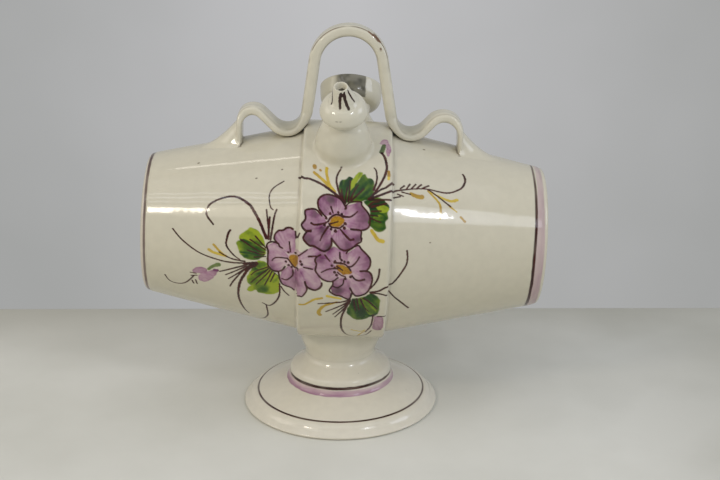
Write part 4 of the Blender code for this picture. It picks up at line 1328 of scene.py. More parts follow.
# %% Leaves
LEAVES = {
    # name: (how yellow, outline)
    "top_dark": (0.18, [(-2.5, 42), (-5, 50), (-5, 55), (-3.5, 57.5), (-0.5, 58), (1.5, 60), (4, 59),
        (5.5, 56.5), (7.5, 56), (10, 61), (12.5, 62), (14, 59), (16.5, 59), (18.5, 56.5), (18, 46.5),
        (13.5, 43.5), (2.5, 41.5)]),
    "top_yellow": (0.95, [(3, 50), (3, 56), (7, 62.5), (9.5, 63.5), (11, 62.5), (9, 58.5)]),
    "right_dark": (0.2, [(12, 43), (15, 44.5), (19.5, 46), (24.5, 45), (28.5, 42), (30, 39), (28.5, 36),
        (29, 32.5), (27.5, 30), (28, 26), (25.5, 24), (21.5, 23.5), (18, 26), (15.5, 29), (16.5, 33),
        (15.5, 38.5), (13.5, 40.5)]),
    "right_yellow": (0.75, [(20.5, 39), (24, 41), (28.5, 40), (29.5, 38), (27.5, 36), (23, 36.5)]),
    "right_olive": (0.45, [(18.5, 32.5), (22.5, 34.5), (26.5, 33.5), (26, 31), (22, 31), (19.5, 30)]),
    "low_dark": (0.24, [(7, -24.5), (15, -22.5), (17.5, -20.5), (21, -19.5), (26, -24), (26, -31),
        (26, -34.5), (24, -39), (20, -41.5), (16, -44.5), (11.5, -45.5), (7.5, -43.5), (4.5, -39.5),
        (3.5, -35)]),
    "low_yellow": (0.5, [(13, -24.5), (20, -30), (24, -35), (22.5, -38), (19, -38.5), (16, -33)]),
    "left_up_dark": (0.42, [(-53.5, 8), (-64.5, 13.5), (-69.5, 14), (-74, 10.5), (-73, 7), (-72, 3),
        (-69, -1), (-65, -2.5), (-60, -2), (-56, 0), (-53.5, 3)]),
    "left_up_yellow": (0.66, [(-54, 9), (-55.5, 15.5), (-58.5, 20), (-63, 22.5), (-66, 22), (-72, 16.5),
        (-72, 13), (-68, 13.5), (-58.5, 10)]),
    "left_low_dark": (0.48, [(-51.5, -6.5), (-57.5, -8.5), (-62, -8), (-64, -12), (-66.5, -18),
        (-66, -23), (-63.5, -25.5), (-59.5, -23), (-52.5, -15), (-49, -12.5), (-44.5, -15.5),
        (-44.5, -12.5)]),
    "left_low_yellow": (0.7, [(-51.5, -8), (-55, -15.5), (-59.5, -22), (-64.5, -26.5), (-66.5, -30.5),
        (-64.5, -32.5), (-60, -29.5), (-58, -32), (-48, -30.5), (-44, -26), (-43.5, -19.5),
        (-44.5, -13.5)]),
    "left_low_head": (0.75, [(-60, -4), (-57.5, -2), (-52, -3.5), (-51.5, -7.5), (-56, -9.5), (-60, -8.5)]),
}
LEAF_VEINS = [
    # (width at the start, width at the end, points)
    (0.95, 0.65, [(-2, 43.5), (-3.5, 50.5)]),
    (0.95, 0.65, [(-0.5, 43), (0.5, 52)]),
    (0.95, 0.6, [(1.5, 42.5), (2.5, 56.5)]),
    (1, 0.65, [(3, 43.5), (5, 49), (8, 54)]),
    (0.95, 0.65, [(3.5, 43), (12, 51.5)]),
    (1.1, 0.85, [(17.5, 39.5), (27.5, 42)]),
    (0.8, 0.7, [(17.5, 36.5), (24, 37)]),
    (0.7, 0.6, [(17, 34), (22, 33.5)]),
    (0.7, 0.6, [(17, 32), (24, 29.5)]),
    (0.95, 0.65, [(15.5, 40), (18.5, 42.5), (22.5, 43)]),
    (0.95, 0.65, [(8, -25.5), (9.5, -35.5)]),
    (0.95, 0.65, [(10, -24.5), (12, -34.5)]),
    (1, 0.65, [(12.5, -24.5), (16, -32.5), (18.5, -35.5)]),
    (0.95, 0.65, [(14.5, -24), (18, -26), (24.5, -33)]),
    (0.85, 0.65, [(-71, 13), (-59, 5.5), (-54.5, 4.5)]),
    (0.85, 0.65, [(-64.5, 13.5), (-53.5, 6.5)]),
    (0.85, 0.65, [(-61, 16.5), (-53.5, 8)]),
    (0.8, 0.65, [(-66, 5), (-58, 3), (-54.5, 3)]),
    (0.7, 0.6, [(-61.5, 0), (-53.5, 1.5)]),
    (0.85, 0.65, [(-51.5, -8), (-59.5, -17), (-63.5, -22.5)]),
    (0.85, 0.65, [(-50.5, -9.5), (-60, -23.5)]),
    (0.8, 0.65, [(-49, -10), (-54, -23)]),
    (0.8, 0.6, [(-47, -11), (-50, -19)]),
    (0.8, 0.6, [(-51.5, -6.5), (-60, -11.5), (-63.5, -15.5)]),
]
print("leaves:", list(LEAVES))

# %% Tendrils and stems
TENDRILS = [
    # (width at the start, width at the end, points)
    (1.3, 1.1, [(-0.5, 41.5), (-8.5, 48), (-17, 53.5), (-25, 57), (-29, 57.5), (-32.5, 60)]),
    (1.3, 0.7, [(-1.5, 42), (-5.5, 50), (-7, 58.5), (-4, 66)]),
    (1.15, 0.7, [(18.5, 51), (20.5, 58), (20, 64.5), (18.5, 67)]),
    (1.15, 1.35, [(17, 45.5), (23.5, 56), (27, 66), (26, 75), (23.5, 80)]),
    (0.85, 1.15, [(15.5, 45), (23, 51), (27, 53), (32, 57.5)]),
    (1.35, 0.7, [(15.5, 44.5), (29, 50), (34.5, 53), (45.5, 56)]),
    (0.7, 1.15, [(45.5, 56), (55.5, 57.5), (69.5, 56.5), (78, 61), (81, 65), (82.5, 70.5), (82, 74.5),
        (81, 77)]),
    (0.95, 0.95, [(16, 44), (26.5, 44.5), (30.5, 44.5)]),
    (0.8, 0.7, [(38, 52.5), (44, 51.5)]),
    (0.8, 0.7, [(32.5, 47.5), (37, 49)]),
    (0.7, 0.7, [(35, 50.5), (39, 49.5)]),
    (0.8, 0.95, [(37, 55), (39.5, 57.5)]),
    (0.8, 0.95, [(41, 55), (43.5, 59.5)]),
    (0.8, 0.95, [(44.5, 56), (47.5, 60)]),
    (0.8, 0.95, [(48, 56.5), (51.5, 60.5)]),
    (0.8, 0.95, [(52, 57.5), (56.5, 60.5)]),
    (0.7, 0.95, [(56, 57), (60.5, 54.5), (72, 45.5)]),
    (0.8, 1.1, [(19, -15.5), (22, -11.5), (24, -7), (24.5, -1.5)]),
    (0.95, 0.95, [(19, -18.5), (24.5, -17.5), (29.5, -14.5), (34.5, -13.5), (42, -2), (43.5, 4),
        (43, 10.5)]),
    (0.85, 0.8, [(19, -19), (25, -19.5), (30.5, -21)]),
    (0.7, 0.95, [(31.5, -19.5), (36, -26), (41, -32), (46.5, -39.5)]),
    (0.95, 0.65, [(5.5, -25.5), (-1.5, -28), (-16.5, -30)]),
    (1, 0.7, [(5.5, -26.5), (-0.5, -31), (-11, -37.5)]),
    (1, 0.65, [(5.5, -27), (-6, -40)]),
    (1, 0.65, [(5, -28.5), (-4.5, -43)]),
    (1.2, 0.8, [(4, -29), (0, -44), (1, -61.5), (7, -76), (17, -71.5), (21.5, -61)]),
    (0.85, 0.85, [(22, -39), (21, -52), (17.5, -63.5)]),
    (0.7, 0.6, [(25, -40.5), (30.5, -40.5)]),
    (1.6, 0.95, [(-53.5, 15.5), (-57.5, 25.5), (-63.5, 37), (-67, 41.5), (-75.5, 47), (-84.5, 46.5),
        (-93.5, 41), (-95.5, 32.5), (-90.5, 24)]),
    (0.65, 0.7, [(-49.5, 36.5), (-51.5, 39), (-52.5, 47), (-50, 53), (-43, 58)]),
    (0.85, 1, [(-54, 36.5), (-52, 21), (-52.5, 15.5)]),
    (0.95, 1.15, [(-51.5, 31), (-52, 15)]),
    (0.95, 1.1, [(-47, 36.5), (-48.5, 31), (-50.5, 14.5)]),
    (1.2, 0.7, [(-78.5, 20), (-80, 16.5), (-81, 7.5), (-76, 0), (-71.5, -3.5)]),
    (0.85, 0.95, [(-119, 18.5), (-112, 8.5), (-101, -1), (-89, -5.5), (-77.5, -7), (-65.5, -5.5)]),
    (0.7, 1, [(-86, 1), (-77.5, -3.5), (-68, -4.5)]),
    (0.8, 1, [(-85.5, -17), (-66.5, -7)]),
    (0.7, 0.95, [(-81.5, -19.5), (-67, -8.5)]),
    (0.7, 0.95, [(-79.5, -23), (-66.5, -9.5)]),
    (0.8, 0.95, [(-78.5, -31), (-76, -24.5), (-70, -14), (-65.5, -9.5)]),
    (2.15, 1.45, [(-60, -5), (-68.5, -6.5)]),
    (2.15, 1.45, [(-61, -6.5), (-65, -8.5), (-67.5, -12)]),
    (1.6, 0.85, [(-63, -8), (-66.5, -12.5), (-71.5, -25.5), (-72.5, -42), (-69, -59), (-66, -67)]),
    (0.7, 0.8, [(-106.5, -23.5), (-102.5, -23.5)]),
    (0.7, 0.8, [(-106, -27), (-102, -25.5)]),
    (0.85, 0.8, [(-105.5, -33), (-104.5, -36.5)]),
    (0.85, 0.8, [(-103, -31.5), (-102, -36)]),
    (0.7, 0.85, [(-125, -32.5), (-123, -38), (-120.5, -41), (-116, -41.5), (-111.5, -39), (-108, -34),
        (-104, -26.5)]),
    (0.95, 0.8, [(-43.5, -19.5), (-44, -32), (-50, -44), (-55.5, -43)]),
    (0.85, 0.8, [(-53, -44.5), (-52, -56.5), (-53, -64), (-56, -72.5), (-59, -77)]),
    (0.8, 0.7, [(-42.5, -21.5), (-40.5, -25), (-37, -28.5)]),
]
print("tendrils and stems:", len(TENDRILS))

# %% Yellow touches and buds
YELLOW_STROKES = [
    # (how ochre, width at the start, width at the end, points)
    (0.9, 2.6, 2.45, [(-22.5, 67), (-22, 65.5)]),
    (0.8, 1.6, 1.6, [(-18.5, 64), (-18, 63.5)]),
    (0.45, 2, 2.3, [(-22.5, 62), (-15, 55.5), (-8, 48.5)]),
    (0.3, 2.15, 2, [(-14, 65.5), (-14, 61.5), (-12, 54), (-9, 50)]),
    (0.75, 2.6, 3.6, [(44.5, 52), (48.5, 50.5), (52, 50.5)]),
    (0.55, 1.15, 2, [(56, 56), (64.5, 46.5), (65, 35.5)]),
    (0.3, 1.15, 2.45, [(57.5, 55.5), (68, 51), (73, 50), (76.5, 51.5)]),
    (0.4, 1.45, 1.15, [(71.5, 45.5), (76.5, 41.5)]),
    (0.8, 1.75, 1.85, [(79.5, 37.5), (82.5, 34)]),
    (0.35, 2.3, 2.6, [(18, 24), (22.5, 18.5), (26, 17.5)]),
    (1, 2.3, 2.15, [(28.5, 64.5), (28.5, 61.5)]),
    (0.2, 1.85, 1.75, [(28.5, 60), (28.5, 59)]),
    (0.4, 1.45, 1.85, [(-29.5, -31.5), (-25.5, -31), (-19.5, -26.5), (-14, -25)]),
    (0.55, 1.45, 2.9, [(-3.5, -28), (-12.5, -32), (-16, -38), (-15, -41)]),
    (0.2, 1.45, 2, [(-1, -25), (-10.5, -23)]),
    (0.35, 1.75, 2.6, [(-81, -2), (-89.5, 0), (-93, 2)]),
    (0.5, 1.85, 1.85, [(-81, -2), (-84.5, 0.5), (-90, 7)]),
    (0.3, 1.15, 1.15, [(7.5, -60.5), (14, -63), (17, -60)]),
    (0.5, 1.3, 1, [(12, -76.5), (14.5, -67), (18, -61.5)]),
]
BUDS = [
    # (how dark, outline)
    (0.45, [(22, 89), (23.5, 93), (25.5, 94.5), (28, 92), (30, 82.5), (28, 77), (26.5, 81), (26.5, 86),
        (24.5, 88)]),
    (0.8, [(-105, -19.5), (-101.5, -16), (-97.5, -15.5), (-94.5, -17), (-95.5, -21.5), (-104, -23)]),
    (0.55, [(-100.5, -25), (-96.5, -20.5), (-86.5, -15), (-91, -26.5), (-96.5, -31.5), (-100.5, -30.5)]),
    (0.75, [(22.5, -40.5), (26, -41), (29, -42), (29.5, -52), (28.5, -58.5), (25, -59.5), (22, -56),
        (22.5, -46)]),
]
BUD_SHADES = [
    # (width at the start, width at the end, points)
    (2.9, 2.15, [(-89, -16.5), (-87, -16.5)]),
]
BUD_CUPS = [
    # (how yellow, width at the start, width at the end, points)
    (0.25, 2.9, 3.3, [(25, 87.5), (23.5, 80.5)]),
    (0.45, 2.15, 3.6, [(-93.5, -16.5), (-90.5, -13), (-86.5, -10.5)]),
]
print("buds:", len(BUDS))

# %% [markdown]
# How a brush leaves its mark. Every piece gets a ground: its points with their place on
# the unrolled surface, and the paint on them. A stroke covers the points nearer to its
# line than half its width, a wash those inside its outline, and both have soft edges of
# a few tenths of a millimetre, because the colour sinks into the raw glaze powder and
# melts into it in the kiln. A value noise stands for the uneven load of the brush. Thin
# curves laid over the glaze would stand proud of it, which this paint never does.

# %% Brushes
NOISE_CELLS = 64


def cloud(u, v, size, seed):
    """Soft noise from -1 to 1, whose blots are about one size across."""
    grid = np.random.default_rng(seed).uniform(-1, 1, (NOISE_CELLS, NOISE_CELLS))
    column, row = u / size, v / size
    i, j = np.floor(column).astype(int), np.floor(row).astype(int)
    a, b = eased(column - i, 0, 1), eased(row - j, 0, 1)

    def corner(right, up):
        return grid[(i + right) % NOISE_CELLS, (j + up) % NOISE_CELLS]

    low = corner(0, 0) * (1 - a) + corner(1, 0) * a
    high = corner(0, 1) * (1 - a) + corner(1, 1) * a
    return low * (1 - b) + high * b


def nearest_on(line, u, v):
    """The distance of points from a line, and how far along it their nearest place is."""
    a, way = line[:-1], np.diff(line, axis=0)
    length = np.maximum(np.hypot(*way.T), 1e-9)
    du, dv = u[:, None] - a[:, 0], v[:, None] - a[:, 1]
    share = np.clip((du * way[:, 0] + dv * way[:, 1]) / length**2, 0, 1)
    distance = np.hypot(du - share * way[:, 0], dv - share * way[:, 1])
    best = distance.argmin(1)
    rows = np.arange(len(u))
    before = np.concatenate([[0], np.cumsum(length)[:-1]])
    along = (before[best] + share[rows, best] * length[best]) / length.sum()
    return distance[rows, best], along


def inside(outline, u, v):
    """True for the points inside a closed outline."""
    a, b = outline, np.roll(outline, -1, 0)
    spans = (a[:, 1] > v[:, None]) != (b[:, 1] > v[:, None])
    rise = np.where(b[:, 1] == a[:, 1], 1, b[:, 1] - a[:, 1])
    meets = a[:, 0] + (v[:, None] - a[:, 1]) / rise * (b[:, 0] - a[:, 0])
    return (spans & (u[:, None] < meets)).sum(1) % 2 == 1


print("noise grid:", NOISE_CELLS, "by", NOISE_CELLS)

# %% Grounds


class Ground:
    """A piece as the painter has it: its points unrolled flat, and the paint on them."""

    def __init__(self, piece, unroll):
        self.piece = piece
        points = np.empty(len(piece.data.vertices) * 3)
        piece.data.vertices.foreach_get("co", points)
        self.points = points.reshape(-1, 3)
        self.u, self.v = unroll(self.points)
        self.paint = np.zeros((len(self.points), 4))
        self.bare = np.zeros(len(self.points))

    def near(self, line, reach):
        """The numbers of the points in a line's box, grown by reach."""
        low, high = line.min(0) - reach, line.max(0) + reach
        u, v = self.u, self.v
        return np.nonzero((u > low[0]) & (u < high[0]) & (v > low[1]) & (v < high[1]))[0]

    def lay(self, where, cover, colour):
        """Paint laid over what is there. The paint is kept times its cover."""
        cover = np.clip(cover, 0, 1)[:, None]
        layer = np.hstack([np.broadcast_to(colour, (len(where), 3)) * cover, cover])
        self.paint[where] = self.paint[where] * (1 - cover) + layer

    def store(self):
        """Writes the paint and the bare places on to the piece's points."""
        paint = self.piece.data.attributes.new("paint", "FLOAT_COLOR", "POINT")
        paint.data.foreach_set("color", self.paint.ravel())
        bare = self.piece.data.attributes.new("bare", "FLOAT", "POINT")
        bare.data.foreach_set("value", self.bare)


def local(points, frame):
    """Points in a frame's own millimetres."""
    inverse = np.array(frame.inverted())
    return (points @ inverse[:3, :3].T + inverse[:3, 3]) / MM


def unroll_barrel(points):
    """Along the barrel, and round it from its front line, in millimetres."""
    x, y, z = local(points, barrel_frame).T
    return x, PAINT_RADIUS * np.arctan2(z, -y)


def blend(colours, amount):
    """A colour between several, for amounts from 0 to 1."""
    stops = np.linspace(0, 1, len(colours))
    return np.stack([np.interp(amount, stops, channel) for channel in zip(*colours)], -1)


barrel_grounds = [
    Ground(piece, unroll_barrel)
    for piece in (left_shell, centre_band, right_shell, left_head, right_head, spout_shoulder)
]
print("points that can be painted on the barrel:", sum(len(ground.u) for ground in barrel_grounds))

# %% Strokes
BROWN = [linear("#260603"), linear("#441107")]
VIOLET = [linear("#C4AAAC"), linear("#A47890"), linear("#743462"), linear("#480F3A")]
GREEN = [linear("#082803"), linear("#1E4604"), linear("#567012"), linear("#8F9E1E")]
YELLOW = [linear("#D6C558"), linear("#BFA11A"), linear("#9A741A")]
EYE_OCHRE = [linear("#B08A14"), linear("#9A660A"), linear("#5A3004")]
LINE_SOFTNESS = 0.3
# The uneven load of a line's brush: how far its width strays, and its blots in millimetres.
LINE_RAGGED = 0.16
LINE_RAGGED_SIZE = 1.3
LINE_BLOT_SIZE = 2.6
LINE_FADE = 0.08
# Points farther than this from a line or an outline get nothing.
BRUSH_REACH = 1.5


def stroke(grounds, colours, start_width, end_width, points, load, seed):
    """One pull of a loaded brush, whose width goes from start to end."""
    line = curve_through(points, 8)
    for ground in grounds:
        where = ground.near(line, max(start_width, end_width) / 2 + BRUSH_REACH)
        if not len(where):
            continue
        u, v = ground.u[where], ground.v[where]
        distance, along = nearest_on(line, u, v)
        width = start_width + (end_width - start_width) * along
        half = width * (1 + LINE_RAGGED * cloud(u, v, LINE_RAGGED_SIZE, seed)) / 2
        cover = eased(distance, half + LINE_SOFTNESS / 2, half - LINE_SOFTNESS / 2)
        uneven = 0.5 + 0.5 * cloud(u, v, LINE_BLOT_SIZE, seed + 1)
        cover *= load * (1 - LINE_FADE * uneven * eased(along, 0.3, 1))
        ground.lay(where, cover, blend(colours, uneven))


print("browns:", [[round(v, 3) for v in colour] for colour in BROWN])

# %% Washes
POOL_STRENGTH = 0.9
# How far a wash's outline strays, and the sizes of its blots and grain, in millimetres.
WASH_RAGGED = 0.35
WASH_RAGGED_SIZE = 2.1
WASH_BLOT = 0.14
WASH_BLOT_SIZE = 4.5
WASH_GRAIN = 0.06
WASH_GRAIN_SIZE = 1.2
# Streaks run out from the heart: so many round it, and this long.
WASH_STREAKS_ROUND = 14
WASH_STREAK_LENGTH = 9
WASH_OUTER_DEPTH = 0.18
WASH_RIM_DEPTH = 0.14
WASH_THIN_SIZE = 3.1


def wash(grounds, colours, tone, points, heart, pools=(), load=0.9, thin=0.12, streaks=0.1, seed=1):
    """Thinned colour inside an outline, deeper at its rim, at its pools and away from its heart.

    The brush was drawn from the heart outwards, so its streaks run that way.
    """
    outline = curve_through([*points, points[0]], 6)
    for ground in grounds:
        where = ground.near(outline, BRUSH_REACH)
        if not len(where):
            continue
        u, v = ground.u[where], ground.v[where]
        distance, _ = nearest_on(outline, u, v)
        edge = np.where(inside(outline, u, v), distance, -distance)
        edge = edge + WASH_RAGGED * cloud(u, v, WASH_RAGGED_SIZE, seed)
        where, u, v, edge = (a[edge > -0.5] for a in (where, u, v, edge))
        away = np.hypot(u - heart[0], v - heart[1])
        bearing = np.arctan2(v - heart[1], u - heart[0])
        depth = tone + WASH_BLOT * cloud(u, v, WASH_BLOT_SIZE, seed + 1)
        depth += WASH_GRAIN * cloud(u, v, WASH_GRAIN_SIZE, seed + 2)
        depth += streaks * cloud(bearing * WASH_STREAKS_ROUND, away / WASH_STREAK_LENGTH, 1.0, seed + 3)
        depth += WASH_OUTER_DEPTH * (eased(away, 3, 17) - 0.5)
        depth += WASH_RIM_DEPTH * np.exp(-(edge**2))
        for strength, size, pool_u, pool_v in pools:
            gap = (u - pool_u) ** 2 + (v - pool_v) ** 2
            depth += POOL_STRENGTH * strength * np.exp(-(gap / size**2))
        thinned = 1 - thin * (0.5 + 0.5 * cloud(u, v, WASH_THIN_SIZE, seed + 4))
        cover = load * eased(edge, -0.35, 0.4) * thinned
        ground.lay(where, cover, blend(colours, np.clip(depth, 0, 1)))


print("violets:", [[round(v, 3) for v in colour] for colour in VIOLET])

# %% [markdown]
# The painting goes in the painter's order: washes of violet, the ochre eyes, buds, leaves
# and yellow touches first, and every brown line last, over them. The darkest violet lies
# where the wet brush was set down, so each flower has a few such places. A thin first wash
# is laid round each eye, because the petals leave no raw glaze there.

# %% Paint the flowers and leaves
VIOLET_POOLS = [
    # (strength, size, right, up)
    (0.75, 3.4, -10, 43), (0.6, 3.6, -21, 33.5), (0.85, 3.0, -15, 23), (0.6, 3.6, -24.5, 17),
    (0.6, 3.8, -11, 12), (0.45, 4.0, 2, 13.5), (0.5, 3.0, 9.5, 18.5), (0.4, 3.6, 12.5, 36.5),
    (0.45, 3.0, 8, 40), (0.35, 4.5, 14, 30), (0.4, 4.0, -15.5, 5), (0.55, 3.2, -2, -18),
    (0.45, 3.0, -5.5, -19), (0.3, 4.0, 16, 5), (0.3, 4.2, 17.5, -6), (0.35, 3.0, -33, -8),
    (0.4, 2.6, -28.5, -6), (0.3, 3.0, -31.5, -15), (0.3, 3.4, -49, -6),
]
HEART_WASH = 2.3
hearts = [np.mean(points, 0) for points in FLOWER_EYES]


def nearest_heart(points):
    """The middle of the flower that is nearest to an outline."""
    middle = np.mean(points, 0)
    return min(hearts, key=lambda heart: np.hypot(*(heart - middle)))


for number, (points, heart) in enumerate(zip(FLOWER_EYES, hearts)):
    round_eye = [tuple(heart + HEART_WASH * (np.array(point) - heart)) for point in points]
    wash(barrel_grounds, VIOLET, 0.1, round_eye, heart, seed=200 + 10 * number)
for number, (depth, points) in enumerate(PETALS.values()):
    wash(barrel_grounds, VIOLET, 0.06 + 0.3 * depth, points, nearest_heart(points), VIOLET_POOLS,
         0.94, seed=10 * number)
for number, (points, heart) in enumerate(zip(FLOWER_EYES, hearts)):
    wash(barrel_grounds, EYE_OCHRE, 0.4, points, heart, (), 1.0, 0.0, 0.45, 300 + 10 * number)
for number, (depth, points) in enumerate(BUDS):
    wash(barrel_grounds, VIOLET, 0.1 + 0.4 * depth, points, points[0], (), 0.95,
         seed=400 + 10 * number)
for number, (green, points) in enumerate(LEAVES.values()):
    wash(barrel_grounds, GREEN, green, points, nearest_heart(points), (), 1.0, 0.0, 0.34,
         500 + 10 * number)
print("flowers:", len(hearts), "petals:", len(PETALS), "leaves:", len(LEAVES))

# %% Paint the touches and lines
LINE_WIDTH = 1.45
DOT_WIDTHS = (2.8, 2.4)

for number, (tone, start, end, points) in enumerate(YELLOW_STROKES):
    stroke(barrel_grounds, [blend(YELLOW, tone), blend(YELLOW, min(1, tone + 0.35))],
           start, end, points, 0.96, 600 + number)
for number, (start, end, points) in enumerate(BUD_SHADES):
    stroke(barrel_grounds, VIOLET[2:], start, end, points, 0.9, 640 + number)
for number, (green, start, end, points) in enumerate(BUD_CUPS):
    stroke(barrel_grounds, [blend(GREEN, green), blend(GREEN, green + 0.3)],
           start, end, points, 0.9, 650 + number)
for number, (start, end, points) in enumerate(TENDRILS + PETAL_LINES + LEAF_VEINS):
    stroke(barrel_grounds, BROWN, LINE_WIDTH * start, LINE_WIDTH * end, points, 1.0, 700 + number)
for number, (size, u, v) in enumerate(STAMEN_DOTS):
    start, end = (width * size for width in DOT_WIDTHS)
    stroke(barrel_grounds, BROWN, start, end, [(u, v), (u + 0.2, v - 0.2)], 1.0, 900 + number)
print("strokes on the barrel:", len(TENDRILS + PETAL_LINES + LEAF_VEINS + YELLOW_STROKES))

# %% [markdown]
# Rings go on while the wheel turns: a brown line near each end of the barrel, with violet
# outside the right one and a breath of it at the left one, and two brown rings and a
# violet one on the foot. Rings made in the shader would be even all round. Here the brush
# is held still, so the colour runs thinner as the brush empties, and wanders a little.

# %% Rings on the ends
LEFT_LINE, RIGHT_LINE = -139.6, 133.3
LEFT_VIOLET, RIGHT_VIOLET = -140.2, 137.0
RING_WANDER = 0.25
RING_WANDER_SIZE = 34
RING_THINNEST = 0.62


def ring(grounds, colours, place, width, load, seed, thinnest):
    """A ring at one place along a ground's first direction, thinnest at one angle."""
    for ground in grounds:
        where = np.nonzero(np.abs(ground.u - place) < width / 2 + BRUSH_REACH)[0]
        if not len(where):
            continue
        u, v = ground.u[where], ground.v[where]
        centre = place + RING_WANDER * cloud(v, np.full(len(v), 3.0), RING_WANDER_SIZE, seed)
        fullness = 0.5 + 0.5 * np.cos(v / PAINT_RADIUS - thinnest + math.pi)
        half = width * (RING_THINNEST + (1 - RING_THINNEST) * fullness) / 2
        half = half * (1 + 0.1 * cloud(u, v / 3, 2.4, seed + 1))
        cover = load * eased(np.abs(u - centre), half + LINE_SOFTNESS, half - LINE_SOFTNESS)
        cover *= 0.72 + 0.28 * fullness - 0.1 * cloud(u, v / 8, 1.5, seed + 2)
        depth = 0.4 + 0.25 * cloud(u, v / 5, 4, seed + 3) + 0.3 * (u - centre) / half
        ground.lay(where, cover, blend(colours, np.clip(depth, 0, 1)))


ring(barrel_grounds, VIOLET[:2], LEFT_VIOLET, 3.4, 0.35, 41, 1.2)
ring(barrel_grounds, BROWN, LEFT_LINE, 2.7, 1.0, 42, -0.1)
ring(barrel_grounds, VIOLET[:3], RIGHT_VIOLET, 6.8, 0.58, 43, 2.0)
ring(barrel_grounds, BROWN, RIGHT_LINE, 2.2, 1.0, 44, 2.6)
print("rings on the ends at (mm):", LEFT_LINE, RIGHT_LINE, RIGHT_VIOLET)

# %% Rings on the foot
# A line inside the foot's wall, from the table up: its heights and its radii.
LINING_HEIGHTS = [0, 6.5, 25.3, 41.3]
LINING_RADII = [62, 55, 33, 24]
OUT_OF_REACH = -100


def unroll_foot(points):
    """Down the foot from its waist, and round it from the front. The hollow is left out."""
    x, y, z = local(points, foot_frame).T
    radius = np.hypot(x, y)
    outside = radius > np.interp(z, LINING_HEIGHTS, LINING_RADII)
    return np.where(outside, radius - z, OUT_OF_REACH), PAINT_RADIUS * np.arctan2(x, -y)


foot_ground = Ground(foot_pedestal, unroll_foot)
ring([foot_ground], VIOLET[:3], 18.2, 6.6, 0.85, 51, 2.6)
ring([foot_ground], BROWN, 13.4, 2.5, 1.0, 52, 2.8)
ring([foot_ground], BROWN, 52.6, 2.1, 1.0, 53, 3.0)
print("points on the outside of the foot:", int((foot_ground.u > OUT_OF_REACH).sum()))

# %% [markdown]
# Short dark strokes fall down the nozzle from its lip. They could go on the unrolled barrel
# as well, but they sit on a small cone that stands out from it and would smear there, so
# the spout is unrolled about its own axis.

# %% Strokes on the nozzle
SPOUT_PAINT_RADIUS = 10
NOZZLE_BROWN = [linear("#1E0A04"), linear("#341408")]
NOZZLE_STROKES = [
    (2.6, 1.4, [(-15.0, 53.0), (-12.6, 49), (-10.8, 44.8)]),
    (3.6, 1.9, [(-3.4, 54.0), (-3.6, 50), (-2.6, 45.0)]),
    (3.8, 2.2, [(0.6, 54.0), (1.6, 50), (3.6, 44.8)]),
    (3.2, 1.6, [(8.4, 54.2), (9.2, 52), (10.8, 46.8)]),
    (2.4, 2.4, [(-3.4, 53.8), (0.8, 53.8)]),
]


def unroll_spout(points):
    """Round the spout's axis from the front, and up along the axis, in millimetres."""
    x, y, z = local(points, spout_frame).T
    return SPOUT_PAINT_RADIUS * np.arctan2(x, -y), z


spout_grounds = [Ground(piece, unroll_spout) for piece in (spout_bulb, spout_nozzle)]
for number, (start, end, points) in enumerate(NOZZLE_STROKES):
    stroke(spout_grounds, NOZZLE_BROWN, start, end, points, 1.0, 960 + number)
print("strokes on the nozzle:", len(NOZZLE_STROKES))

# %% [markdown]
# Use has left its traces, and some shade is painted on. Dirt with painted contact shade sits
# where the strap lies on the barrel and along the strap's edges, painted shade darkens the
# strap's valleys, the barrel behind them and the corners beside the band, and a painted
# shadow greys the front of the cup. The arch is chipped down to the clay at its right
# shoulder, the cup's rim is worn, and a few specks are burnt in. Noise alone would spread
# these evenly, so the dirt and shade are laid by how near the pieces come to each other, and
# each mark at the place where it was seen, given as points in a frame's own millimetres.

# %% Marks
# A brown for dirt, wear and specks, and for painted shade where the strap lies on the wall and along its
# edges.
DIRT_AND_SHADE = [linear("#4A3A28"), linear("#6B5A42")]
CHIP = [linear("#4E3320"), linear("#7A5638")]
# A grey-green for painted shade in the valleys and on the cup's front.
SHADE_FILM = [linear("#7D7A5C"), linear("#8F8B70")]
# The grey of the painted shadow on the cup's front.
CUP_SHADOW_GREY = [linear("#303126"), linear("#474539")]

strap_ground = Ground(strap_handle, unroll_barrel)
neck_ground = Ground(mouth_neck, unroll_barrel)
cup_ground = Ground(mouth_funnel, unroll_barrel)
collar_ground = Ground(foot_collar, unroll_foot)
barrel_wall = barrel_grounds[:3]


def mark(ground, frame, colours, width, load, bare, points, seed, through=0):
    """A worn line through points in space, ragged at its edges.

    With through, the line counts for everything that far in front of and behind it.
    """
    reach = np.array([1, max(1, through), 1]) * (width + 1)
    places = local(ground.points, frame)
    line = np.array(points, float)
    where = np.nonzero(((places > line.min(0) - reach) & (places < line.max(0) + reach)).all(1))[0]
    if not len(where):
        return
    places = places[where]
    start, way = line[:-1], np.diff(line, axis=0)
    offset = places[:, None] - start
    share = np.clip((offset * way).sum(2) / (way**2).sum(1), 0, 1)[..., None]
    gap = offset - share * way
    if through:
        gap = gap[..., [0, 2]]
    distance = np.sqrt((gap**2).sum(2)).min(1)
    ragged = cloud(places[:, 0] + places[:, 2], places[:, 1] + places[:, 2], 0.9, seed)
    half = width / 2 * (1 + 0.5 * ragged)
    cover = load * eased(distance, half + 0.25, half - 0.25)
    ground.lay(where, cover, blend(colours, 0.5 + 0.5 * ragged))
    ground.bare[where] = np.maximum(ground.bare[where], bare * cover)


print("dirt:", [[round(v, 3) for v in colour] for colour in DIRT_AND_SHADE])

# %% Dirt and painted shade under the strap
CONTACT_DARK_REACH = 1.5
CONTACT_GAP = 0.9
CREST_SIDE = 15


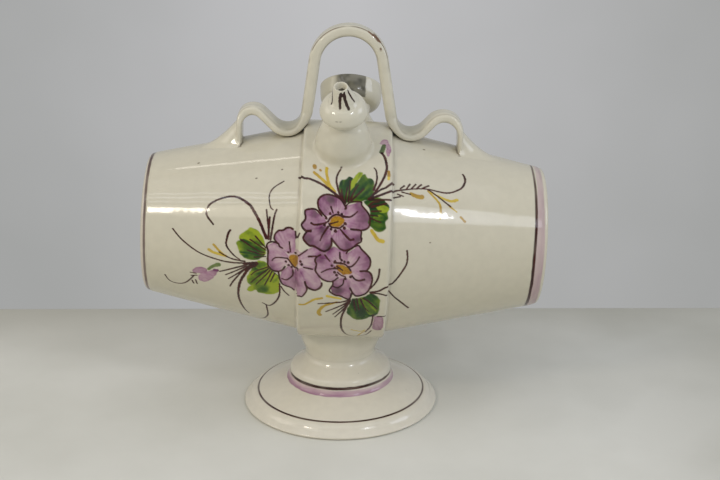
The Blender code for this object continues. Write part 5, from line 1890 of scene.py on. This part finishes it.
def contact_dirt_and_shade():
    """Dirt and painted contact shade on the barrel and the strap, where the strap lies on the wall."""
    x, y, z = local(strap_ground.points, barrel_frame).T
    wall = np.where(np.abs(x) < HALF_BAND / MM, BAND_RADIUS, shell_radius(x * MM)) / MM
    gap = np.hypot(y, z) - wall
    between_ends = (x * MM > -LEFT_LANDING) & (x * MM < RIGHT_LANDING)
    lies = np.nonzero((gap < CONTACT_GAP) & between_ends)[0]
    ragged = 0.5 + 0.5 * cloud(x[lies], y[lies], 2.2, 71)
    strap_ground.lay(lies, 0.75 * ragged * eased(gap[lies], CONTACT_GAP, 0.2), blend(DIRT_AND_SHADE, ragged))
    tree = KDTree(len(lies))
    for number, place in enumerate(local(strap_ground.points[lies], barrel_frame)):
        tree.insert(place, number)
    tree.balance()
    # The wall near the strap gets the same dirt and painted contact shade.
    for ground in barrel_wall:
        places = local(ground.points, barrel_frame)
        under = np.nonzero((places[:, 2] > 30) & (np.abs(places[:, 1]) < 26))[0]
        reach = np.array([tree.find(place)[2] for place in places[under]])
        ragged = 0.5 + 0.5 * cloud(places[under, 0], places[under, 1], 1.9, 72)
        cover = (0.35 + 0.5 * ragged) * eased(reach, CONTACT_DARK_REACH * (0.5 + ragged), 0.2)
        ground.lay(under, cover, blend(DIRT_AND_SHADE, ragged))
        # The crest behind the humps gets a film of painted shade.
        x, y = places[under, 0], places[under, 1]
        hidden = eased(np.abs(x), 28, 38) * eased(np.abs(x), 84, 76)
        crest = np.exp(-(((y - CREST_SIDE) / 6) ** 2)) * (0.5 + 0.5 * cloud(x, y, 3.5, 79))
        ground.lay(under, 0.6 * hidden * crest, blend(SHADE_FILM, ragged))


contact_dirt_and_shade()
print("dirtied points of the strap:", int((strap_ground.paint[:, 3] > 0).sum()))

# %% Dirt and painted shade along the edges
# The two edges of the strap's front face, as shares of the way round its section. The dark lines along them
# are dirt and painted shade.
STRAP_EDGES = (0.375, 0.625)
STRAP_TOP = 0.25


def edge_dirt_and_shade():
    """Dirt and painted shade along the strap's edges, and painted shade in its valleys and beside the band.
    """
    every = np.arange(STRAP_RINGS * STRAP_POINTS)
    column, row = every % STRAP_POINTS, every // STRAP_POINTS
    x, y, z = local(strap_ground.points[every], barrel_frame).T
    ragged = 0.5 + 0.5 * cloud(row * STRAP_STEP / MM, np.zeros(len(row)), 5.0, 73)
    high = eased(z, 110, 140)
    broken = eased(ragged, 0.2 - 0.2 * high, 0.75 - 0.3 * high)
    for corner, cover in zip(STRAP_EDGES, (0.3 + 0.6 * high, 0.65 * high)):
        edge = np.exp(-(((column - corner * STRAP_POINTS) / 1.5) ** 2))
        strap_ground.lay(every, cover * edge * broken, blend(DIRT_AND_SHADE, ragged))
    # Painted shade on the strap's top in its valleys.
    top = np.exp(-(((column - STRAP_TOP * STRAP_POINTS) / (0.17 * STRAP_POINTS)) ** 4))
    hollow = eased(np.abs(np.abs(x) - VALLEY_X / MM), 17, 3) * eased(z, 112, 84)
    strap_ground.lay(every, 0.42 * top * hollow, blend(SHADE_FILM, ragged))
    # Painted shade in the corners beside the band, where the shells meet it.
    for ground in barrel_wall:
        beside = np.abs(np.abs(ground.u) - HALF_BAND / MM - 0.9)
        where = np.nonzero(beside < 1.2)[0]
        ragged = 0.5 + 0.5 * cloud(ground.v[where], ground.u[where], 7.0, 74)
        ground.lay(where, 0.3 * ragged * eased(beside[where], 1.1, 0.3), blend(DIRT_AND_SHADE, ragged))


edge_dirt_and_shade()
print("dirtied points of the strap:", int((strap_ground.paint[:, 3] > 0).sum()))

# %% Painted shadow on the cup's front
CUP_SKIN = 19.6
CUP_LIP = 34
SHADOW_RIGHT_EDGE = (10.9, 10.3)
SHADOW_LEFT_EDGE = (-14.5, -7.0)


def paint_cup_shadow():
    """A painted shadow on the front of the cup, cut off sharply at its right, over fainter painted shade
    that darkens to the left.
    """
    x, y, z = local(cup_ground.points, mouth_frame).T
    every = np.arange(len(x))
    faint_shade = (y < 8) * (0.1 + 0.26 * eased(x, 8, -6)) * (0.85 + 0.15 * cloud(x, z, 6.0, 78))
    cup_ground.lay(every, faint_shade, blend(SHADE_FILM, 0.5 + 0.5 * cloud(x, z, 3.0, 78)))
    front = (y < 0) & (np.hypot(x, y) > CUP_SKIN) | (z > CUP_LIP)
    right = eased(x, *SHADOW_RIGHT_EDGE)
    left = eased(x + 0.9 * cloud(z, y, 5, 75), *SHADOW_LEFT_EDGE)
    cover = 0.97 * left * right * front * (y < 4) * (0.85 + 0.15 * cloud(x, z, 3.0, 76))
    cup_ground.lay(every, cover, blend(CUP_SHADOW_GREY, 0.5 + 0.5 * cloud(x, z, 4.0, 77)))


paint_cup_shadow()
print("grey points of the cup:", int((cup_ground.paint[:, 3] > 0.8).sum()))

# %% Chips, wear and specks
ARCH_CHIPS = [
    # (width, points)
    (1.0, [(11.6, -6.9, 147.0), (14.2, -7.6, 144.9)]),
    (1.3, [(14.6, -7.4, 144.9), (18.8, -8.4, 140.6)]),
    (1.1, [(16.0, -6.4, 144.9), (19.6, -7.4, 140.2)]),
    (1.3, [(20.3, -9.4, 135.9), (20.6, -9.4, 135.0)]),
]
for number, (width, points) in enumerate(ARCH_CHIPS):
    mark(strap_ground, barrel_frame, CHIP, width, 0.95, 1.0, points, 80 + number, through=2.5)


def on_cup(degrees, radius, height):
    """A place on the cup, its angle taken from the front."""
    angle = math.radians(degrees)
    return radius * math.sin(angle), -radius * math.cos(angle), height


# (from, to, width), in degrees from the front and millimetres
RIM_WEAR = [(8, 14, 1.0), (15, 17, 1.4), (19, 24, 1.2), (25, 31, 1.5), (-62, -58, 0.9), (150, 158, 1.2)]
RIM_LINE = (21.9, 34.8)
for number, (start, end, width) in enumerate(RIM_WEAR):
    points = [on_cup(angle, *RIM_LINE) for angle in np.linspace(start, end, 4)]
    mark(cup_ground, mouth_frame, DIRT_AND_SHADE, width, 0.8, 0.7, points, 90 + number)
BULB_MARKS = [[(-5.2, -14.6, 38.0), (-4.0, -14.9, 38.1)], [(-2.4, -15.2, 38.4), (-1.4, -15.2, 38.6)]]
for number, points in enumerate(BULB_MARKS):
    mark(spout_grounds[0], spout_frame, DIRT_AND_SHADE, 0.8, 0.6, 0.3, points, 100 + number)

# (width, right, up)
SPECKS = [(1.4, 53.5, 98), (1.5, -104.5, 85), (1.2, -62.5, 62), (1.1, -45, 68), (0.9, 58.5, 16.5)]
for number, (width, u, v) in enumerate(SPECKS):
    stroke(barrel_grounds, DIRT_AND_SHADE, width, width, [(u, v), (u + 0.5, v + 0.1)], 0.8, 120 + number)
print("chips, worn places and specks:", len(ARCH_CHIPS), len(RIM_WEAR) + len(BULB_MARKS), len(SPECKS))

# %% [markdown]
# The paint is kept as a colour on every point, with its cover as the alpha, and how bare
# the clay is as a plain number. Attributes go with the mesh, so nothing has to be saved
# beside it. The heads' faces were never painted, so what the rings left there is taken off.

# %% Store the paint
HEAD_PAINT = 6
for ground in barrel_grounds[3:5]:
    _, y, z = local(ground.points, barrel_frame).T
    face = np.hypot(y, z) < shell_radius(HALF_LENGTH) / MM - HEAD_PAINT
    ground.paint[face] = 0
single_grounds = [foot_ground, strap_ground, neck_ground, cup_ground, collar_ground]
for ground in barrel_grounds + spout_grounds + single_grounds:
    ground.store()
print("painted points:", sum(int((ground.paint[:, 3] > 0).sum()) for ground in barrel_grounds))

# %% [markdown]
# Tin glaze. The clay body is covered by a lead glaze made white and opaque by tin oxide.
# It is fired to glass, so it is smooth and reflects like a dielectric of IOR 1.48, and its
# white is warm, with faint clouds where it lies thinner over the buff clay. Pinholes and
# specks of iron stay where gas and dirt came through. The painter's colours lie under the
# same gloss, so the paint only changes the colour. A coat over a matt body would do the
# same with two layers, but here nothing shows between them.

# %% Tin glaze material
# The glaze is palest on the foot and near the top, and darker and warmer on the barrel:
# the warmer tone is the glaze's own, and the darker white is painted shade. Its whites
# stand at shares of the jug's height, which the clouds shift up and down a little.
GLAZE_HEIGHT = 0.29
GLAZE_WHITES_AND_HEIGHT_SHADE = [
    (0.1, "#D6D0BF"), (0.2, "#D1CCB9"), (0.34, "#CAC4AE"), (0.66, "#CAC4AF"), (0.8, "#D0CBB7"),
]
GLAZE_SHIFT = 0.1
GLAZE_ROUGHNESS = 0.08
CLAY_ROUGHNESS = 0.75
IRON = "#6A563E"


def tin_glaze():
    material = bpy.data.materials.new("tin_glaze")
    material.use_nodes = True
    tree = material.node_tree
    shader = tree.nodes["Principled BSDF"]
    shader.inputs["IOR"].default_value = 1.48
    place = add_node(tree, "TexCoord", {}).outputs["Object"]
    # Clouds of thinner glaze are about 30 mm across, and smaller blots about 6 mm.
    clouds = add_node(tree, "TexNoise", {"Vector": place, "Scale": 34.0, "Detail": 3.0})
    height = add_node(tree, "SeparateXYZ", {"Vector": place}).outputs["Z"]
    height = add_node(tree, "Math", {
        "operation": "MULTIPLY", 0: height, 1: 1 / GLAZE_HEIGHT,
    })
    height = add_node(tree, "Math", {
        "operation": "ADD", 0: height.outputs[0], 1: -GLAZE_SHIFT / 2,
    })
    uneven = add_node(tree, "Math", {
        "operation": "MULTIPLY_ADD", 0: clouds.outputs["Fac"], 1: GLAZE_SHIFT, 2: height.outputs[0],
    })
    # The whites by height hold painted shade, darker on the barrel than on the foot and the top.
    white = add_node(tree, "ValToRGB", {"Fac": uneven.outputs[0], "stops": GLAZE_WHITES_AND_HEIGHT_SHADE})
    blots = add_node(tree, "TexNoise", {"Vector": place, "Scale": 170.0, "Detail": 2.0})
    shade = add_node(tree, "MapRange", {
        "Value": blots.outputs["Fac"], "From Min": 0.3, "From Max": 0.7, "To Min": 0.975, "To Max": 1.02,
    })
    white = add_node(tree, "VectorMath", {
        "operation": "SCALE", 0: white.outputs["Color"], "Scale": shade.outputs[0],
    })
    # Iron specks and pinholes half a millimetre wide, one in seven of the 9 mm cells.
    cells = add_node(tree, "TexVoronoi", {"Vector": place, "Scale": 110.0})
    cell_kind = add_node(tree, "SeparateColor", {"Color": cells.outputs["Color"]})
    rare = add_node(tree, "Math", {
        "operation": "LESS_THAN", 0: cell_kind.outputs[0], 1: 0.14,
    })
    speck = add_node(tree, "MapRange", {
        "Value": cells.outputs["Distance"], "From Min": 0.02, "From Max": 0.036,
        "To Min": 0.65, "To Max": 0.0,
    })
    speck = add_node(tree, "Math", {
        "operation": "MULTIPLY", 0: speck.outputs[0], 1: rare.outputs[0],
    })
    white = add_node(tree, "Mix", {
        "data_type": "RGBA", 0: speck.outputs[0], 6: white.outputs["Vector"], 7: (*linear(IRON), 1),
    })
    # The paint is stored times its cover, so the white is first dimmed by the cover.
    paint = add_node(tree, "Attribute", {"attribute_name": "paint"})
    clear = add_node(tree, "Math", {
        "operation": "SUBTRACT", 0: 1.0, 1: paint.outputs["Alpha"],
    })
    dimmed = add_node(tree, "VectorMath", {
        "operation": "SCALE", 0: white.outputs[2], "Scale": clear.outputs[0],
    })
    colour = add_node(tree, "VectorMath", {
        "operation": "ADD", 0: dimmed.outputs["Vector"], 1: paint.outputs["Color"],
    })
    tree.links.new(colour.outputs["Vector"], shader.inputs["Base Color"])
    # Fired glaze is glossy, bare clay is matt.
    bare = add_node(tree, "Attribute", {"attribute_name": "bare"})
    gloss = add_node(tree, "MapRange", {
        "Value": bare.outputs["Fac"], "To Min": GLAZE_ROUGHNESS, "To Max": CLAY_ROUGHNESS,
    })
    tree.links.new(gloss.outputs[0], shader.inputs["Roughness"])
    # The glaze settled in low waves 18 mm wide, under a peel of 2 mm dimples.
    waves = add_node(tree, "TexNoise", {"Vector": place, "Scale": 55.0, "Detail": 1.0})
    peel = add_node(tree, "TexNoise", {"Vector": place, "Scale": 420.0, "Detail": 1.0})
    low = add_node(tree, "Bump", {"Distance": 0.06 * MM, "Height": waves.outputs["Fac"]})
    fine = add_node(tree, "Bump", {
        "Distance": 0.003 * MM, "Height": peel.outputs["Fac"], "Normal": low.outputs["Normal"],
    })
    tree.links.new(fine.outputs["Normal"], shader.inputs["Normal"])
    return material


glaze = tin_glaze()
print("nodes in the glaze:", len(glaze.node_tree.nodes))

# %% [markdown]
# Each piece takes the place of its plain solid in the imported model, rides on the one rigid
# body and counts as cream glaze. They could be joined into one mesh, but the model names
# its parts, so they stay thirteen pieces with one material.

# %% Dress the pieces
pieces = {
    "left_shell": left_shell,
    "right_shell": right_shell,
    "centre_band": centre_band,
    "left_head": left_head,
    "right_head": right_head,
    "spout_shoulder": spout_shoulder,
    "spout_bulb": spout_bulb,
    "spout_nozzle": spout_nozzle,
    "mouth_neck": mouth_neck,
    "mouth_funnel": mouth_funnel,
    "strap_handle": strap_handle,
    "foot_collar": foot_collar,
    "foot_pedestal": foot_pedestal,
}
for node, piece in pieces.items():
    piece.name = node + "_glazed"
    piece.data.materials.clear()
    piece.data.materials.append(glaze)
    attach(piece, "root")
    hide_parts(node)
print("dressed pieces:", len(pieces))

# %% [markdown]
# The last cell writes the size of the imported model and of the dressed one, side by side.
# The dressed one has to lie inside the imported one.

# %% Sizes and finish
bpy.context.view_layer.update()
VISUAL_BOX = [list(corner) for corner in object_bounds()]
for row, box in (("cad", CAD_BOX), ("visual", VISUAL_BOX)):
    print(row, "box (mm):", [[round(v / MM, 2) for v in corner] for corner in box])
